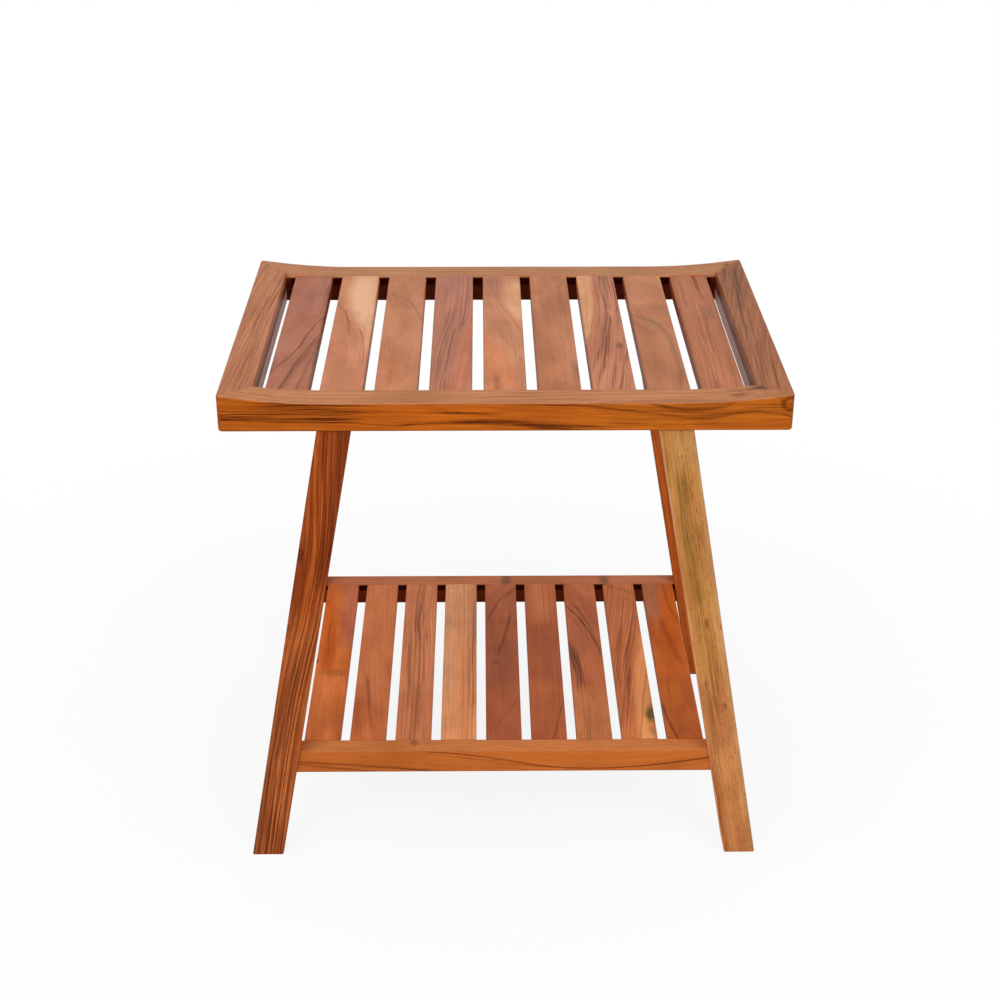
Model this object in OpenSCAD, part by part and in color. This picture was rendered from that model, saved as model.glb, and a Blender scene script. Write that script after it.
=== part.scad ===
// Slatted wooden bath bench with a mitred, dished seat frame, four splayed legs and a slatted shelf.
// Millimetres, +X to the right, +Y to the back, +Z up. The origin is on the floor, under the seat's centre.

/* [Overall] */
// Length of the seat, left to right
seat_w = 460; // [425:1:560]
// Depth of the seat, front to back
seat_d = 330; // [280:1:420]
// Height of the slats' top faces above the floor
seat_h = 447.5; // [400:0.5:520]

/* [Seat frame] */
// Thickness of the front and back rails, front to back
rail_t = 28; // [26:0.5:36]
// Height of the rails at the middle of the seat
rail_h = 24; // [23:0.5:34]
// Width of the end boards, left to right
board_w = 26; // [24:0.5:34]
// How far the frame's top rises at its ends
end_rise = 7; // [3:0.5:14]
// Length of the rising curve at each end
rise_run = 90; // [60:1:150]
// Radius of the frame's upright corners
corner_r = 4; // [1:0.5:6]
// Radius of the eased edges round the frame's outside
frame_edge_r = 1.5; // [0.5:0.25:3]

/* [Seat slats] */
// Number of slats in the seat
seat_slats = 9; // [5:1:10]
// Width of a seat slat
seat_slat_w = 35; // [26:0.5:38]
// Thickness of a seat slat
seat_slat_t = 13; // [11:0.5:14]
// Thickness of the tongue on a seat slat's end
seat_tongue_t = 7; // [5:0.5:9]
// Depth of the groove in the front and back rails
seat_groove_depth = 8; // [5:0.5:10]
// Depth of the tongues' top faces below the slats' top faces, on the seat and on the shelf
tongue_drop = 2; // [1.5:0.25:2.5]

/* [Legs] */
// Width of a leg, square to its length
leg_w = 27.5; // [24:0.5:34]
// Thickness of a leg, front to back
leg_t = 24; // [20:0.5:26]
// Lean of the legs, outward towards the foot, in degrees
leg_splay = 10.3; // [6:0.1:12]
// Distance from the seat's end in to the foot's outer corner, on the floor
foot_inset = 1.5; // [-15:0.5:15]
// Distance from the seat's front face back to the legs' front face
leg_setback = 3; // [1:0.5:4]
// Radius of the legs' eased edges
leg_edge_r = 2; // [1:0.25:4]
// Radius of the round on the foot's inner corner
foot_corner_r = 5; // [2:0.5:10]

/* [Leg tenons] */
// Width of the tenon on top of a leg
leg_tenon_w = 18; // [12:0.5:22]
// Thickness of the tenon on top of a leg
leg_tenon_t = 10; // [6:0.5:12]
// Height of the tenon on top of a leg
leg_tenon_h = 12; // [8:0.5:14]

/* [Shelf] */
// Height of the shelf's top face above the floor
shelf_h = 110; // [70:1:180]
// Height of a shelf rail
shelf_rail_h = 22; // [20:0.5:34]
// Thickness of a shelf rail, front to back
shelf_rail_t = 19; // [16:0.5:20]
// Distance from a leg's front face back to the shelf rail's face
shelf_setback = 3; // [1:0.5:4]
// Number of slats in the shelf
shelf_slats = 9; // [5:1:10]
// Width of a shelf slat
shelf_slat_w = 32; // [24:0.5:35]
// Thickness of a shelf slat
shelf_slat_t = 9; // [8:0.5:11]
// Thickness of the tongue on a shelf slat's end
shelf_tongue_t = 5; // [3:0.5:6]
// Depth of the groove in the shelf rails
shelf_groove_depth = 6; // [4:0.5:8]
// Gap between a leg and the slat beside it
shelf_end_gap = 2; // [1:0.5:10]

/* [Shelf rail tenons] */
// Length of the tenon on a shelf rail's end
shelf_tenon_l = 14; // [8:0.5:18]
// Thickness of the tenon on a shelf rail's end
shelf_tenon_t = 8; // [5:0.5:10]
// Height of the tenon on a shelf rail's end
shelf_tenon_h = 9; // [6:0.5:10]
// Height of the shoulder below the tenon
shelf_tenon_shoulder = 3; // [2:0.5:4]

/* [Corner keys] */
// Length of a key, square to the mitre
key_l = 16; // [10:0.5:18]
// Width of a key, along the mitre
key_w = 14; // [8:0.5:16]
// Thickness of a key
key_t = 7; // [4:0.5:8]
// Height of a key's underside above the frame's underside
key_lift = 7; // [4:0.5:9]

/* [Fits] */
// Clearance above a tongue in its groove, and round a key or tenon
side_clear = 0.2; // [0.1:0.05:0.4]
// Clearance at the end of a tongue, key or tenon
end_clear = 0.4; // [0.2:0.05:1]
// Radius of the slats' and shelf rails' eased edges
slat_edge_r = 1.5; // [0.5:0.25:2]

/* [Hidden] */
$fn = 64;
overcut = 1;

rail_z = seat_h - rail_h;
inner_half_w = seat_w / 2 - board_w;
inner_half_d = seat_d / 2 - rail_t;
rise_r = (rise_run * rise_run + end_rise * end_rise) / (2 * end_rise);
flat_half_w = seat_w / 2 - rise_run;

seat_gap = (2 * inner_half_w - seat_slats * seat_slat_w) / (seat_slats + 1);
seat_pitch = seat_slat_w + seat_gap;

foot_span = seat_w - 2 * foot_inset;
leg_y = seat_d / 2 - leg_setback - leg_t / 2;
leg_level_w = leg_w / cos(leg_splay);

shelf_rail_z = shelf_h - shelf_rail_h;
shelf_face_y = seat_d / 2 - leg_setback - shelf_setback;
shelf_inner_half_d = shelf_face_y - shelf_rail_t;
shelf_tenon_z = shelf_rail_z + shelf_tenon_shoulder;
shelf_slats_span = 2 * (leg_inner_x(shelf_h) - shelf_end_gap);
shelf_pitch = (shelf_slats_span - shelf_slat_w) / (shelf_slats - 1);

mitre_angle = atan2(rail_t, board_w);
key_z = rail_z + key_lift;

frame_wood = "#b4703f";
leg_light_wood = "#bd8a55";
leg_dark_wood = "#7a4423";
shelf_wood = "#b86c35";
key_wood = "#a5683c";
seat_slat_woods = ["#a8644a", "#c08a5e", "#b57d5a", "#a96a4c", "#c5855a",
                   "#ad6c4c", "#b98058", "#b37550", "#a9664a"];
shelf_slat_woods = ["#b0623a", "#b26f3f", "#9c6c4a", "#b78353", "#954f36",
                    "#a25f40", "#a76a45", "#ab744b", "#b8713f"];

// The right legs' outer and inner faces lean inward with height
function leg_outer_x(z) = foot_span / 2 - z * tan(leg_splay);
function leg_inner_x(z) = leg_outer_x(z) - leg_level_w;

function tinted(tints, i) = tints[(i - 1) % len(tints)];

module to_side(right) {
    mirror([right ? 0 : 1, 0, 0]) children();
}

module to_row(back) {
    mirror([0, back ? 0 : 1, 0]) children();
}

module rounded_rect(w, d, r) {
    translate([r, 0]) square([w - 2 * r, d]);
    translate([0, r]) square([w, d - 2 * r]);
    for (x = [r, w - r], y = [r, d - r]) translate([x, y]) circle(r);
}

// The space above the frame's dished top: level in the middle, with a tangent arc to each end
module dish() {
    top = seat_h + end_rise + overcut;
    translate([-flat_half_w, -seat_d / 2 - overcut, seat_h])
        cube([2 * flat_half_w, seat_d + 2 * overcut, top - seat_h]);
    for (right = [false, true]) to_side(right)
        translate([flat_half_w, 0, seat_h + rise_r])
            rotate([90, 0, 0]) cylinder(r = rise_r, h = seat_d + 2 * overcut, center = true, $fn = 360);
}

// The block that the frame is shaped from, with its upright corners and outer edges rounded
module frame_block() {
    total_h = rail_h + end_rise;
    intersection() {
        translate([-seat_w / 2, -seat_d / 2, rail_z])
            linear_extrude(total_h) rounded_rect(seat_w, seat_d, corner_r);
        translate([-seat_w / 2, -seat_d / 2, rail_z])
            rotate([90, 0, 90]) linear_extrude(seat_w) rounded_rect(seat_d, 2 * total_h, frame_edge_r);
        translate([-seat_w / 2, seat_d / 2, rail_z])
            rotate([90, 0, 0]) linear_extrude(seat_d) rounded_rect(seat_w, total_h, frame_edge_r);
    }
}

// What rounding takes off an edge: a strip over the edge's corner, at the origin, less the round
module edge_waste(r) {
    difference() {
        translate([-r, -r]) square(r + overcut);
        translate([-r, -r]) circle(r);
    }
}

// The rounding of the back rail's outer top edge, straight in the middle and along the arcs
module top_edge_cut() {
    translate([-flat_half_w, seat_d / 2, seat_h])
        rotate([90, 0, 90]) linear_extrude(2 * flat_half_w) edge_waste(frame_edge_r);
    for (right = [false, true]) to_side(right)
        translate([flat_half_w, seat_d / 2, seat_h + rise_r])
            rotate([-90, 0, 0]) rotate_extrude($fn = 360)
                translate([rise_r, 0]) rotate(90) edge_waste(frame_edge_r);
}

// A frame member from its plan outline, with the dished top
module frame_member(plan) {
    difference() {
        intersection() {
            translate([0, 0, rail_z]) linear_extrude(rail_h + end_rise) polygon(plan);
            frame_block();
        }
        dish();
    }
}

// A key lies square across the mitre, half in the rail and half in the end board
module key_at_corner(side, end, above) {
    translate([seat_w / 2 - board_w / 2, seat_d / 2 - rail_t / 2, key_z])
        rotate([0, 0, mitre_angle])
            translate([-key_w / 2 - side, -key_l / 2 - end, 0])
                cube([key_w + 2 * side, key_l + 2 * end, key_t + above]);
}

module key_pockets() {
    for (right = [false, true], back = [false, true])
        to_side(right) to_row(back) key_at_corner(side_clear, end_clear, side_clear);
}

// A right leg's bar, leaning about its outer foot corner and cut level at z0 and z1
module leaning_bar(inset, w, t, r, z0, z1) {
    length = (z1 + leg_w) / cos(leg_splay) + 2 * leg_w;
    intersection() {
        translate([foot_span / 2, leg_y - t / 2, 0])
            rotate([0, -leg_splay, 0])
                translate([-inset - w, 0, -leg_w])
                    linear_extrude(length) rounded_rect(w, t, r);
        translate([0, 0, z0]) cube([foot_span, seat_d, z1 - z0]);
    }
}

module leg_tenon(extra_side, extra_top) {
    leaning_bar((leg_w - leg_tenon_w) / 2 - extra_side, leg_tenon_w + 2 * extra_side,
                leg_tenon_t + 2 * extra_side, leg_edge_r,
                rail_z - overcut, rail_z + leg_tenon_h + extra_top);
}

// The back rail, along +Y. The front rail is its mirror image.
module seat_rail() {
    tongue_z = seat_h - tongue_drop - seat_tongue_t;
    groove_half_w = inner_half_w - seat_gap / 2;
    difference() {
        frame_member([[-seat_w / 2, seat_d / 2], [-inner_half_w, inner_half_d],
                      [inner_half_w, inner_half_d], [seat_w / 2, seat_d / 2]]);
        translate([-groove_half_w, inner_half_d - overcut, tongue_z])
            cube([2 * groove_half_w, seat_groove_depth + overcut, seat_tongue_t + side_clear]);
        top_edge_cut();
        for (right = [false, true]) to_side(right) leg_tenon(side_clear, end_clear);
        key_pockets();
    }
}

module front_rail() {
    color(frame_wood) to_row(false) seat_rail();
}

module back_rail() {
    color(frame_wood) to_row(true) seat_rail();
}

module end_board(right) {
    color(frame_wood) difference() {
        to_side(right)
            frame_member([[seat_w / 2, -seat_d / 2], [seat_w / 2, seat_d / 2],
                          [inner_half_w, inner_half_d], [inner_half_w, -inner_half_d]]);
        key_pockets();
    }
}

// A slat from front to back, flush with its carriers' tops, with a tongue on each end
module slat(x, top, w, t, tongue_t, half_d, groove_depth) {
    tongue_l = groove_depth - end_clear;
    translate([x - w / 2, half_d, top - t])
        rotate([90, 0, 0]) linear_extrude(2 * half_d) rounded_rect(w, t, slat_edge_r);
    translate([x - w / 2 + slat_edge_r, -half_d - tongue_l, top - tongue_drop - tongue_t])
        cube([w - 2 * slat_edge_r, 2 * (half_d + tongue_l), tongue_t]);
}

module seat_slat(i) {
    x = (i - (seat_slats + 1) / 2) * seat_pitch;
    color(tinted(seat_slat_woods, i))
        slat(x, seat_h, seat_slat_w, seat_slat_t, seat_tongue_t, inner_half_d, seat_groove_depth);
}

module shelf_slat(i) {
    x = (i - (shelf_slats + 1) / 2) * shelf_pitch;
    color(tinted(shelf_slat_woods, i))
        slat(x, shelf_h, shelf_slat_w, shelf_slat_t, shelf_tongue_t, shelf_inner_half_d, shelf_groove_depth);
}

// A shelf rail's tenon, cut parallel to the leg's leaning inner face
module shelf_tenon(extra_side, extra_end) {
    z0 = shelf_tenon_z - extra_side;
    z1 = shelf_tenon_z + shelf_tenon_h + extra_side;
    reach = shelf_tenon_l + extra_end;
    translate([0, shelf_face_y - shelf_rail_t / 2 + shelf_tenon_t / 2 + extra_side, 0])
        rotate([90, 0, 0]) linear_extrude(shelf_tenon_t + 2 * extra_side)
            polygon([[leg_inner_x(z0) - overcut, z0], [leg_inner_x(z0) + reach, z0],
                     [leg_inner_x(z1) + reach, z1], [leg_inner_x(z1) - overcut, z1]]);
}

// The back right leg. The others are its mirror images.
module leg() {
    difference() {
        union() {
            leaning_bar(0, leg_w, leg_t, leg_edge_r, 0, rail_z);
            leg_tenon(0, 0);
        }
        shelf_tenon(side_clear, end_clear);
        foot_corner_cut();
    }
}

// What the round on the foot's inner corner takes away, between the inner face and the floor
module foot_corner_cut() {
    reach = foot_corner_r * tan((90 - leg_splay) / 2);
    face_end = [-reach * sin(leg_splay), reach * cos(leg_splay)];
    translate([leg_inner_x(0), leg_y + leg_t / 2 + overcut, 0])
        rotate([90, 0, 0]) linear_extrude(leg_t + 2 * overcut) difference() {
            polygon([[-overcut, -overcut], [reach, -overcut], [reach, 0], face_end, face_end - [overcut, 0]]);
            translate([reach, foot_corner_r]) circle(foot_corner_r);
        }
}

module placed_leg(right, back, wood) {
    color(wood) to_side(right) to_row(back) leg();
}

// The back shelf rail between the legs, its ends cut to their lean
module shelf_rail() {
    z0 = shelf_rail_z;
    z1 = shelf_h;
    tongue_z = shelf_h - tongue_drop - shelf_tongue_t;
    difference() {
        intersection() {
            translate([-foot_span / 2, shelf_inner_half_d, z0])
                rotate([90, 0, 90]) linear_extrude(foot_span)
                    rounded_rect(shelf_rail_t, shelf_rail_h, slat_edge_r);
            translate([0, shelf_face_y + overcut, 0])
                rotate([90, 0, 0]) linear_extrude(shelf_rail_t + 2 * overcut)
                    polygon([[-leg_inner_x(z0), z0], [leg_inner_x(z0), z0],
                             [leg_inner_x(z1), z1], [-leg_inner_x(z1), z1]]);
        }
        translate([-foot_span / 2, shelf_inner_half_d - overcut, tongue_z])
            cube([foot_span, shelf_groove_depth + overcut, shelf_tongue_t + side_clear]);
    }
    for (right = [false, true]) to_side(right) shelf_tenon(0, 0);
}

module shelf_front_rail() {
    color(shelf_wood) to_row(false) shelf_rail();
}

module shelf_back_rail() {
    color(shelf_wood) to_row(true) shelf_rail();
}

module corner_key(right, back) {
    color(key_wood) to_side(right) to_row(back) key_at_corner(0, 0, 0);
}

front_rail();
back_rail();
end_board(false);  // left_end_board
end_board(true);  // right_end_board
for (i = [1:seat_slats]) seat_slat(i);
placed_leg(false, false, leg_dark_wood);  // front_left_leg
placed_leg(true, false, leg_light_wood);  // front_right_leg
placed_leg(false, true, leg_dark_wood);  // back_left_leg
placed_leg(true, true, frame_wood);  // back_right_leg
shelf_front_rail();
shelf_back_rail();
for (i = [1:shelf_slats]) shelf_slat(i);
corner_key(false, false);  // front_left_corner_key
corner_key(true, false);  // front_right_corner_key
corner_key(false, true);  // back_left_corner_key
corner_key(true, true);  // back_right_corner_key
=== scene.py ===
import math

import bmesh
import bpy
from mathutils import Color, Euler, Matrix, Vector


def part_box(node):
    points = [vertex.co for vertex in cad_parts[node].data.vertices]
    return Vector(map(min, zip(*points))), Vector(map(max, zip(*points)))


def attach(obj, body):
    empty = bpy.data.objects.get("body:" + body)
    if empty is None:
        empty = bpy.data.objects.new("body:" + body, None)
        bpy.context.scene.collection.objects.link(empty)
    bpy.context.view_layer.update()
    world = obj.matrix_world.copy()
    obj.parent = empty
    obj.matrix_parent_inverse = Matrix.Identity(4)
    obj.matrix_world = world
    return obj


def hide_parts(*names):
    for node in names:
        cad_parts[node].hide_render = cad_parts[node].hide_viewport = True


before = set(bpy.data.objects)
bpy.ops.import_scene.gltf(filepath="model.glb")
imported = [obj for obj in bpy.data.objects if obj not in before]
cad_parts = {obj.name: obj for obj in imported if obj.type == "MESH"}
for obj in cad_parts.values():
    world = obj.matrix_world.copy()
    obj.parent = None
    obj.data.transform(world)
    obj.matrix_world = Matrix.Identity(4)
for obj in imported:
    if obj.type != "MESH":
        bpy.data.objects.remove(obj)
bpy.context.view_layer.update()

# Camera. It stands in front of the bench at standing height, a little left of its middle,
# and looks down over the seat with a long lens.
CAMERA_PLACE = (-0.0201, -1.4314, 1.0017)
CAMERA_DOWN = 26.80
CAMERA_RIGHT = 0.71
CAMERA_ROLL = 0.13
LENS_MM = 62.61

camera_data = bpy.data.cameras.new("camera")
camera_data.lens = LENS_MM
camera = bpy.data.objects.new("camera", camera_data)
aim = Euler((math.radians(90 - CAMERA_DOWN), 0, math.radians(-CAMERA_RIGHT))).to_matrix()
roll = Matrix.Rotation(math.radians(CAMERA_ROLL), 3, "Z")
camera.matrix_world = Matrix.Translation(CAMERA_PLACE) @ (aim @ roll).to_4x4()
bpy.context.collection.objects.link(camera)
bpy.context.scene.camera = camera
bpy.context.scene.view_settings.view_transform = "Standard"

# Studio. White surroundings light the bench softly, and two softboxes in front, low enough to
# reach the shelf under the seat. The pale floor keeps the shadow and runs out into the white.
SURROUND_LIGHT = 0.58
SOFTBOX_PLACES = {"left softbox": Vector((-1.3, -1.9, 1.8)), "right softbox": Vector((1.3, -1.9, 1.8))}
SOFTBOX_SIZE = 1.5
SOFTBOX_WATTS = 26
SOFTBOX_TARGET = Vector((0, 0, 0.25))
FLOOR_SIZE = 14
FLOOR_ALBEDO = 0.94
FLOOR_SHADOW_REACH = (0.25, 0.9)
FLOOR_WHITENESS = (0.87, 1.0)


def node(tree, kind, sockets, **settings):
    """Adds a shader node; sockets gives its inputs, by name or number, a value or another's output."""
    new = tree.nodes.new("ShaderNode" + kind)
    for key, value in settings.items():
        setattr(new, key, value)
    for key, value in sockets.items():
        if isinstance(value, bpy.types.NodeSocket):
            tree.links.new(value, new.inputs[key])
        else:
            new.inputs[key].default_value = value
    return new


def calc(tree, operation, *values):
    """A Math node on one to three numbers or outputs."""
    return node(tree, "Math", dict(enumerate(values)), operation=operation).outputs[0]


def vector_calc(tree, operation, *values):
    """A Vector Math node; lengths and dot products come out as numbers."""
    results = node(tree, "VectorMath", dict(enumerate(values)), operation=operation).outputs
    return results["Value" if operation in ("LENGTH", "DOT_PRODUCT") else "Vector"]


def ramp(tree, value, start, end, low=0.0, high=1.0):
    """Goes smoothly from low to high as the value goes from start to end."""
    sockets = {"Value": value, "From Min": start, "From Max": end, "To Min": low, "To Max": high}
    return node(tree, "MapRange", sockets, interpolation_type="SMOOTHSTEP").outputs[0]


def seen_directly(tree):
    """1 on rays that show the backdrop as it is, from the camera or in a reflection, else 0."""
    path = node(tree, "LightPath", {}).outputs
    mirrored = calc(tree, "MAXIMUM", path["Is Glossy Ray"], path["Is Transmission Ray"])
    return calc(tree, "MAXIMUM", path["Is Camera Ray"], mirrored)


world = bpy.data.worlds.new("white surroundings")
world.use_nodes = True
strength = ramp(world.node_tree, seen_directly(world.node_tree), 0, 1, SURROUND_LIGHT, 1.0)
surround = world.node_tree.nodes["Background"]
surround.inputs["Color"].default_value = (1, 1, 1, 1)
world.node_tree.links.new(strength, surround.inputs["Strength"])
bpy.context.scene.world = world

for softbox_name, softbox_place in SOFTBOX_PLACES.items():
    softbox_data = bpy.data.lights.new(softbox_name, "AREA")
    softbox_data.energy = SOFTBOX_WATTS
    softbox_data.size = SOFTBOX_SIZE
    softbox = bpy.data.objects.new(softbox_name, softbox_data)
    softbox_turn = (SOFTBOX_TARGET - softbox_place).to_track_quat("-Z", "Y").to_matrix().to_4x4()
    softbox.matrix_world = Matrix.Translation(softbox_place) @ softbox_turn
    bpy.context.collection.objects.link(softbox)

floor_bm = bmesh.new()
bmesh.ops.create_grid(floor_bm, x_segments=1, y_segments=1, size=FLOOR_SIZE / 2)
floor_mesh = bpy.data.meshes.new("floor")
floor_bm.to_mesh(floor_mesh)
floor_bm.free()
floor = bpy.data.objects.new("floor", floor_mesh)
bpy.context.collection.objects.link(floor)
floor_paint = bpy.data.materials.new("pale floor")
floor_paint.use_nodes = True
floor_tree = floor_paint.node_tree
floor_bsdf = floor_tree.nodes["Principled BSDF"]
floor_bsdf.inputs["Base Color"].default_value = (FLOOR_ALBEDO, FLOOR_ALBEDO, FLOOR_ALBEDO, 1)
floor_bsdf.inputs["Roughness"].default_value = 1.0
floor_bsdf.inputs["Specular IOR Level"].default_value = 0.0
floor_point = node(floor_tree, "TexCoord", {}).outputs["Object"]
floor_distance = vector_calc(floor_tree, "LENGTH", floor_point)
away = ramp(floor_tree, floor_distance, *FLOOR_SHADOW_REACH, *FLOOR_WHITENESS)
floor_white = node(floor_tree, "Emission", {"Color": (1, 1, 1, 1), "Strength": 1.0}).outputs[0]
floor_mix = node(floor_tree, "MixShader", {
    0: calc(floor_tree, "MULTIPLY", away, seen_directly(floor_tree)),
    1: floor_bsdf.outputs[0],
    2: floor_white,
}).outputs[0]
floor_tree.links.new(floor_mix, floor_tree.nodes["Material Output"].inputs["Surface"])
floor_mesh.materials.append(floor_paint)

# Front and back rails. The long members of the seat frame, sawn from reddish brown hardwood,
# oiled, dished on top, grooved inside for the slats and mitred to the end boards.
UPWARDS = Vector((0, 0, 1))
DOWNWARDS = Vector((0, 0, -1))
RIGHTWARDS = Vector((1, 0, 0))
LEFTWARDS = Vector((-1, 0, 0))
BACKWARDS = Vector((0, 1, 0))
FORWARDS = Vector((0, -1, 0))
RAIL_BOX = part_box("back_rail")
BOARD_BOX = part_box("right_end_board")
SLAT_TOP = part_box("seat_slat_5")[1].z
SEAT_HALF_W = BOARD_BOX[1].x
SEAT_HALF_D = RAIL_BOX[1].y
INNER_HALF_W = BOARD_BOX[0].x
INNER_HALF_D = RAIL_BOX[0].y
RAIL_Z = RAIL_BOX[0].z
END_RISE = 0.007
RISE_RUN = 0.090
RISE_STEP = 0.005
CORNER_R = 0.004
FRAME_EDGE_R = 0.0015
GROOVE_DEPTH = 0.008
GROOVE_HALF_W = 0.19935
GROOVE_Z = (0.4385, 0.4457)
SIDE_CLEAR = 0.0002
END_CLEAR = 0.0004
KEY_L = 0.016
KEY_W = 0.014
KEY_Z = (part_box("back_right_corner_key")[0].z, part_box("back_right_corner_key")[1].z + SIDE_CLEAR)
LEG_SPLAY = math.radians(10.3)
LEG_W = 0.0275
LEG_EDGE_R = 0.002
LEG_LOW, LEG_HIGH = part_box("back_right_leg")
LEG_TENON_W = 0.018
LEG_TENON_T = 0.010
LEG_TENON_H = 0.012
HAIR = 1e-5
FLAT = 0.999
NEARLY_ALONG = 0.9
SHARP_ANGLE = math.radians(40)


def srgb(red, green, blue):
    """A colour written as a screen shows it, from 0 to 255."""
    return (*Color((red / 255, green / 255, blue / 255)).from_srgb_to_scene_linear(), 1)


def mixed(tree, factor, first, second, blend="MIX"):
    """A colour Mix node."""
    return node(tree, "Mix", {0: factor, 6: first, 7: second}, data_type="RGBA", blend_type=blend).outputs[2]


def shader_group(name, inputs, outputs):
    """An empty node group with number and vector inputs and number outputs, and its two ends."""
    tree = bpy.data.node_groups.new(name, "ShaderNodeTree")
    for label, value in inputs.items():
        kind = "NodeSocketVector" if hasattr(value, "__len__") else "NodeSocketFloat"
        tree.interface.new_socket(label, in_out="INPUT", socket_type=kind).default_value = value
    for label in outputs:
        tree.interface.new_socket(label, in_out="OUTPUT", socket_type="NodeSocketFloat")
    return tree, tree.nodes.new("NodeGroupInput").outputs, tree.nodes.new("NodeGroupOutput").inputs


def wood_figure_group():
    """What a saw opens in a trunk: growth layers round a pith, fibres along it, and pores."""
    tree, given, result = shader_group(
        "wood figure",
        {"Point": (0, 0, 0), "Size": (1, 1, 1), "Path": 0.5, "Seed": 0.0, "Ring Width": 0.003,
         "Wander": 0.006, "Pith": (0.05, 0.0, 0.08)},
        ["Rings", "Lines", "Fibre", "Pores", "Flecks", "Blotch", "Wave"],
    )

    def scaled(vector, factors):
        return vector_calc(tree, "MULTIPLY", vector, factors)

    def noise(vector, scale, detail, offset):
        seed = calc(tree, "ADD", given["Seed"], offset)
        sockets = {"Vector": vector, "W": seed, "Scale": scale, "Detail": detail, "Roughness": 0.6}
        return node(tree, "TexNoise", sockets, noise_dimensions="4D")

    drift = noise(scaled(given["Point"], (1, 0.22, 1)), scale=16, detail=2, offset=0).outputs["Color"]
    centred = vector_calc(tree, "SUBTRACT", drift, (0.5, 0.5, 0.5))
    wander = node(tree, "VectorMath", {0: centred, "Scale": given["Wander"]}, operation="SCALE").outputs[0]
    wandering = vector_calc(tree, "ADD", given["Point"], wander)
    x, y, z = node(tree, "SeparateXYZ", {0: wandering}).outputs
    width = node(tree, "SeparateXYZ", {0: given["Size"]}).outputs[0]
    shift = calc(tree, "MULTIPLY", calc(tree, "SUBTRACT", given["Path"], 0.5), width)
    bent_x = calc(tree, "SUBTRACT", x, shift)
    bent = node(tree, "CombineXYZ", {0: bent_x, 1: y, 2: z}).outputs[0]
    ripple = noise(scaled(given["Point"], (1, 0.35, 1)), scale=70, detail=2, offset=9).outputs[0]
    tree.links.new(ripple, result["Wave"])

    pith_x, pith_tilt, pith_z = node(tree, "SeparateXYZ", {0: given["Pith"]}).outputs
    from_x = calc(tree, "SUBTRACT", bent_x, pith_x)
    from_z = calc(tree, "SUBTRACT", calc(tree, "MULTIPLY_ADD", y, pith_tilt, z), pith_z)
    flat = node(tree, "CombineXYZ", {0: from_x, 1: from_z}).outputs[0]
    radius = vector_calc(tree, "LENGTH", flat)
    layer = calc(tree, "ADD", calc(tree, "DIVIDE", radius, given["Ring Width"]), given["Seed"])
    each_layer = {"W": layer, "Scale": 1.0, "Detail": 2.0, "Roughness": 0.7}
    rings = node(tree, "TexNoise", each_layer, noise_dimensions="1D").outputs[0]
    patches = noise(scaled(bent, (1, 0.3, 1)), scale=22, detail=1, offset=5).outputs[0]
    patchy = ramp(tree, patches, 0.35, 0.6, 0.25, 1.0)
    tree.links.new(calc(tree, "MULTIPLY", ramp(tree, rings, 0.34, 0.66), patchy), result["Rings"])
    some_layers = {"W": calc(tree, "ADD", layer, 40.0), "Scale": 0.7, "Detail": 1.0}
    bold = node(tree, "TexNoise", some_layers, noise_dimensions="1D").outputs[0]
    contour = calc(tree, "ABSOLUTE", calc(tree, "SUBTRACT", bold, 0.5))
    tree.links.new(ramp(tree, contour, 0.0, 0.035, 1.0, 0.0), result["Lines"])

    fibre = noise(scaled(bent, (1, 0.012, 1)), scale=850, detail=3, offset=3).outputs[0]
    tree.links.new(ramp(tree, fibre, 0.32, 0.68), result["Fibre"])
    pores = noise(scaled(bent, (1, 0.05, 1)), scale=2300, detail=1, offset=7).outputs[0]
    tree.links.new(ramp(tree, pores, 0.60, 0.74), result["Pores"])
    flecks = noise(scaled(bent, (1, 0.14, 1)), scale=1000, detail=2, offset=13).outputs[0]
    tree.links.new(ramp(tree, flecks, 0.54, 0.72), result["Flecks"])
    blotch = noise(scaled(bent, (1, 0.4, 1)), scale=36, detail=3, offset=11).outputs[0]
    tree.links.new(ramp(tree, blotch, 0.36, 0.64), result["Blotch"])
    return tree


def vein_group():
    """A vein, streak or zone that follows its own line along the board and fades out at its ends."""
    tree, given, result = shader_group(
        "vein",
        {"Across": 0.0, "Along": 0.5, "Fibre": 0.5, "Line": 0.0, "Half Width": 0.1, "Softness": 1.0,
         "Streaky": 0.3, "Start": 0.0, "End": 1.0, "Strength": 1.0},
        ["Mask"],
    )
    distance = calc(tree, "ABSOLUTE", calc(tree, "SUBTRACT", given["Across"], given["Line"]))
    share = calc(tree, "DIVIDE", distance, given["Half Width"])
    body = ramp(tree, share, calc(tree, "SUBTRACT", 1.0, given["Softness"]), 1.0, 1.0, 0.0)
    fade = (-0.04, 0.04)
    entering = ramp(tree, calc(tree, "SUBTRACT", given["Along"], given["Start"]), *fade)
    leaving = ramp(tree, calc(tree, "SUBTRACT", given["Along"], given["End"]), *fade, 1.0, 0.0)
    window = calc(tree, "MULTIPLY", entering, leaving)
    missing = calc(tree, "MULTIPLY", ramp(tree, given["Fibre"], 0.25, 0.7, 1.0, 0.0), given["Streaky"])
    shape = calc(tree, "MULTIPLY", body, window)
    mask = calc(tree, "MULTIPLY", shape, calc(tree, "SUBTRACT", 1.0, missing))
    tree.links.new(calc(tree, "MULTIPLY", mask, given["Strength"]), result["Mask"])
    return tree


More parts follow.
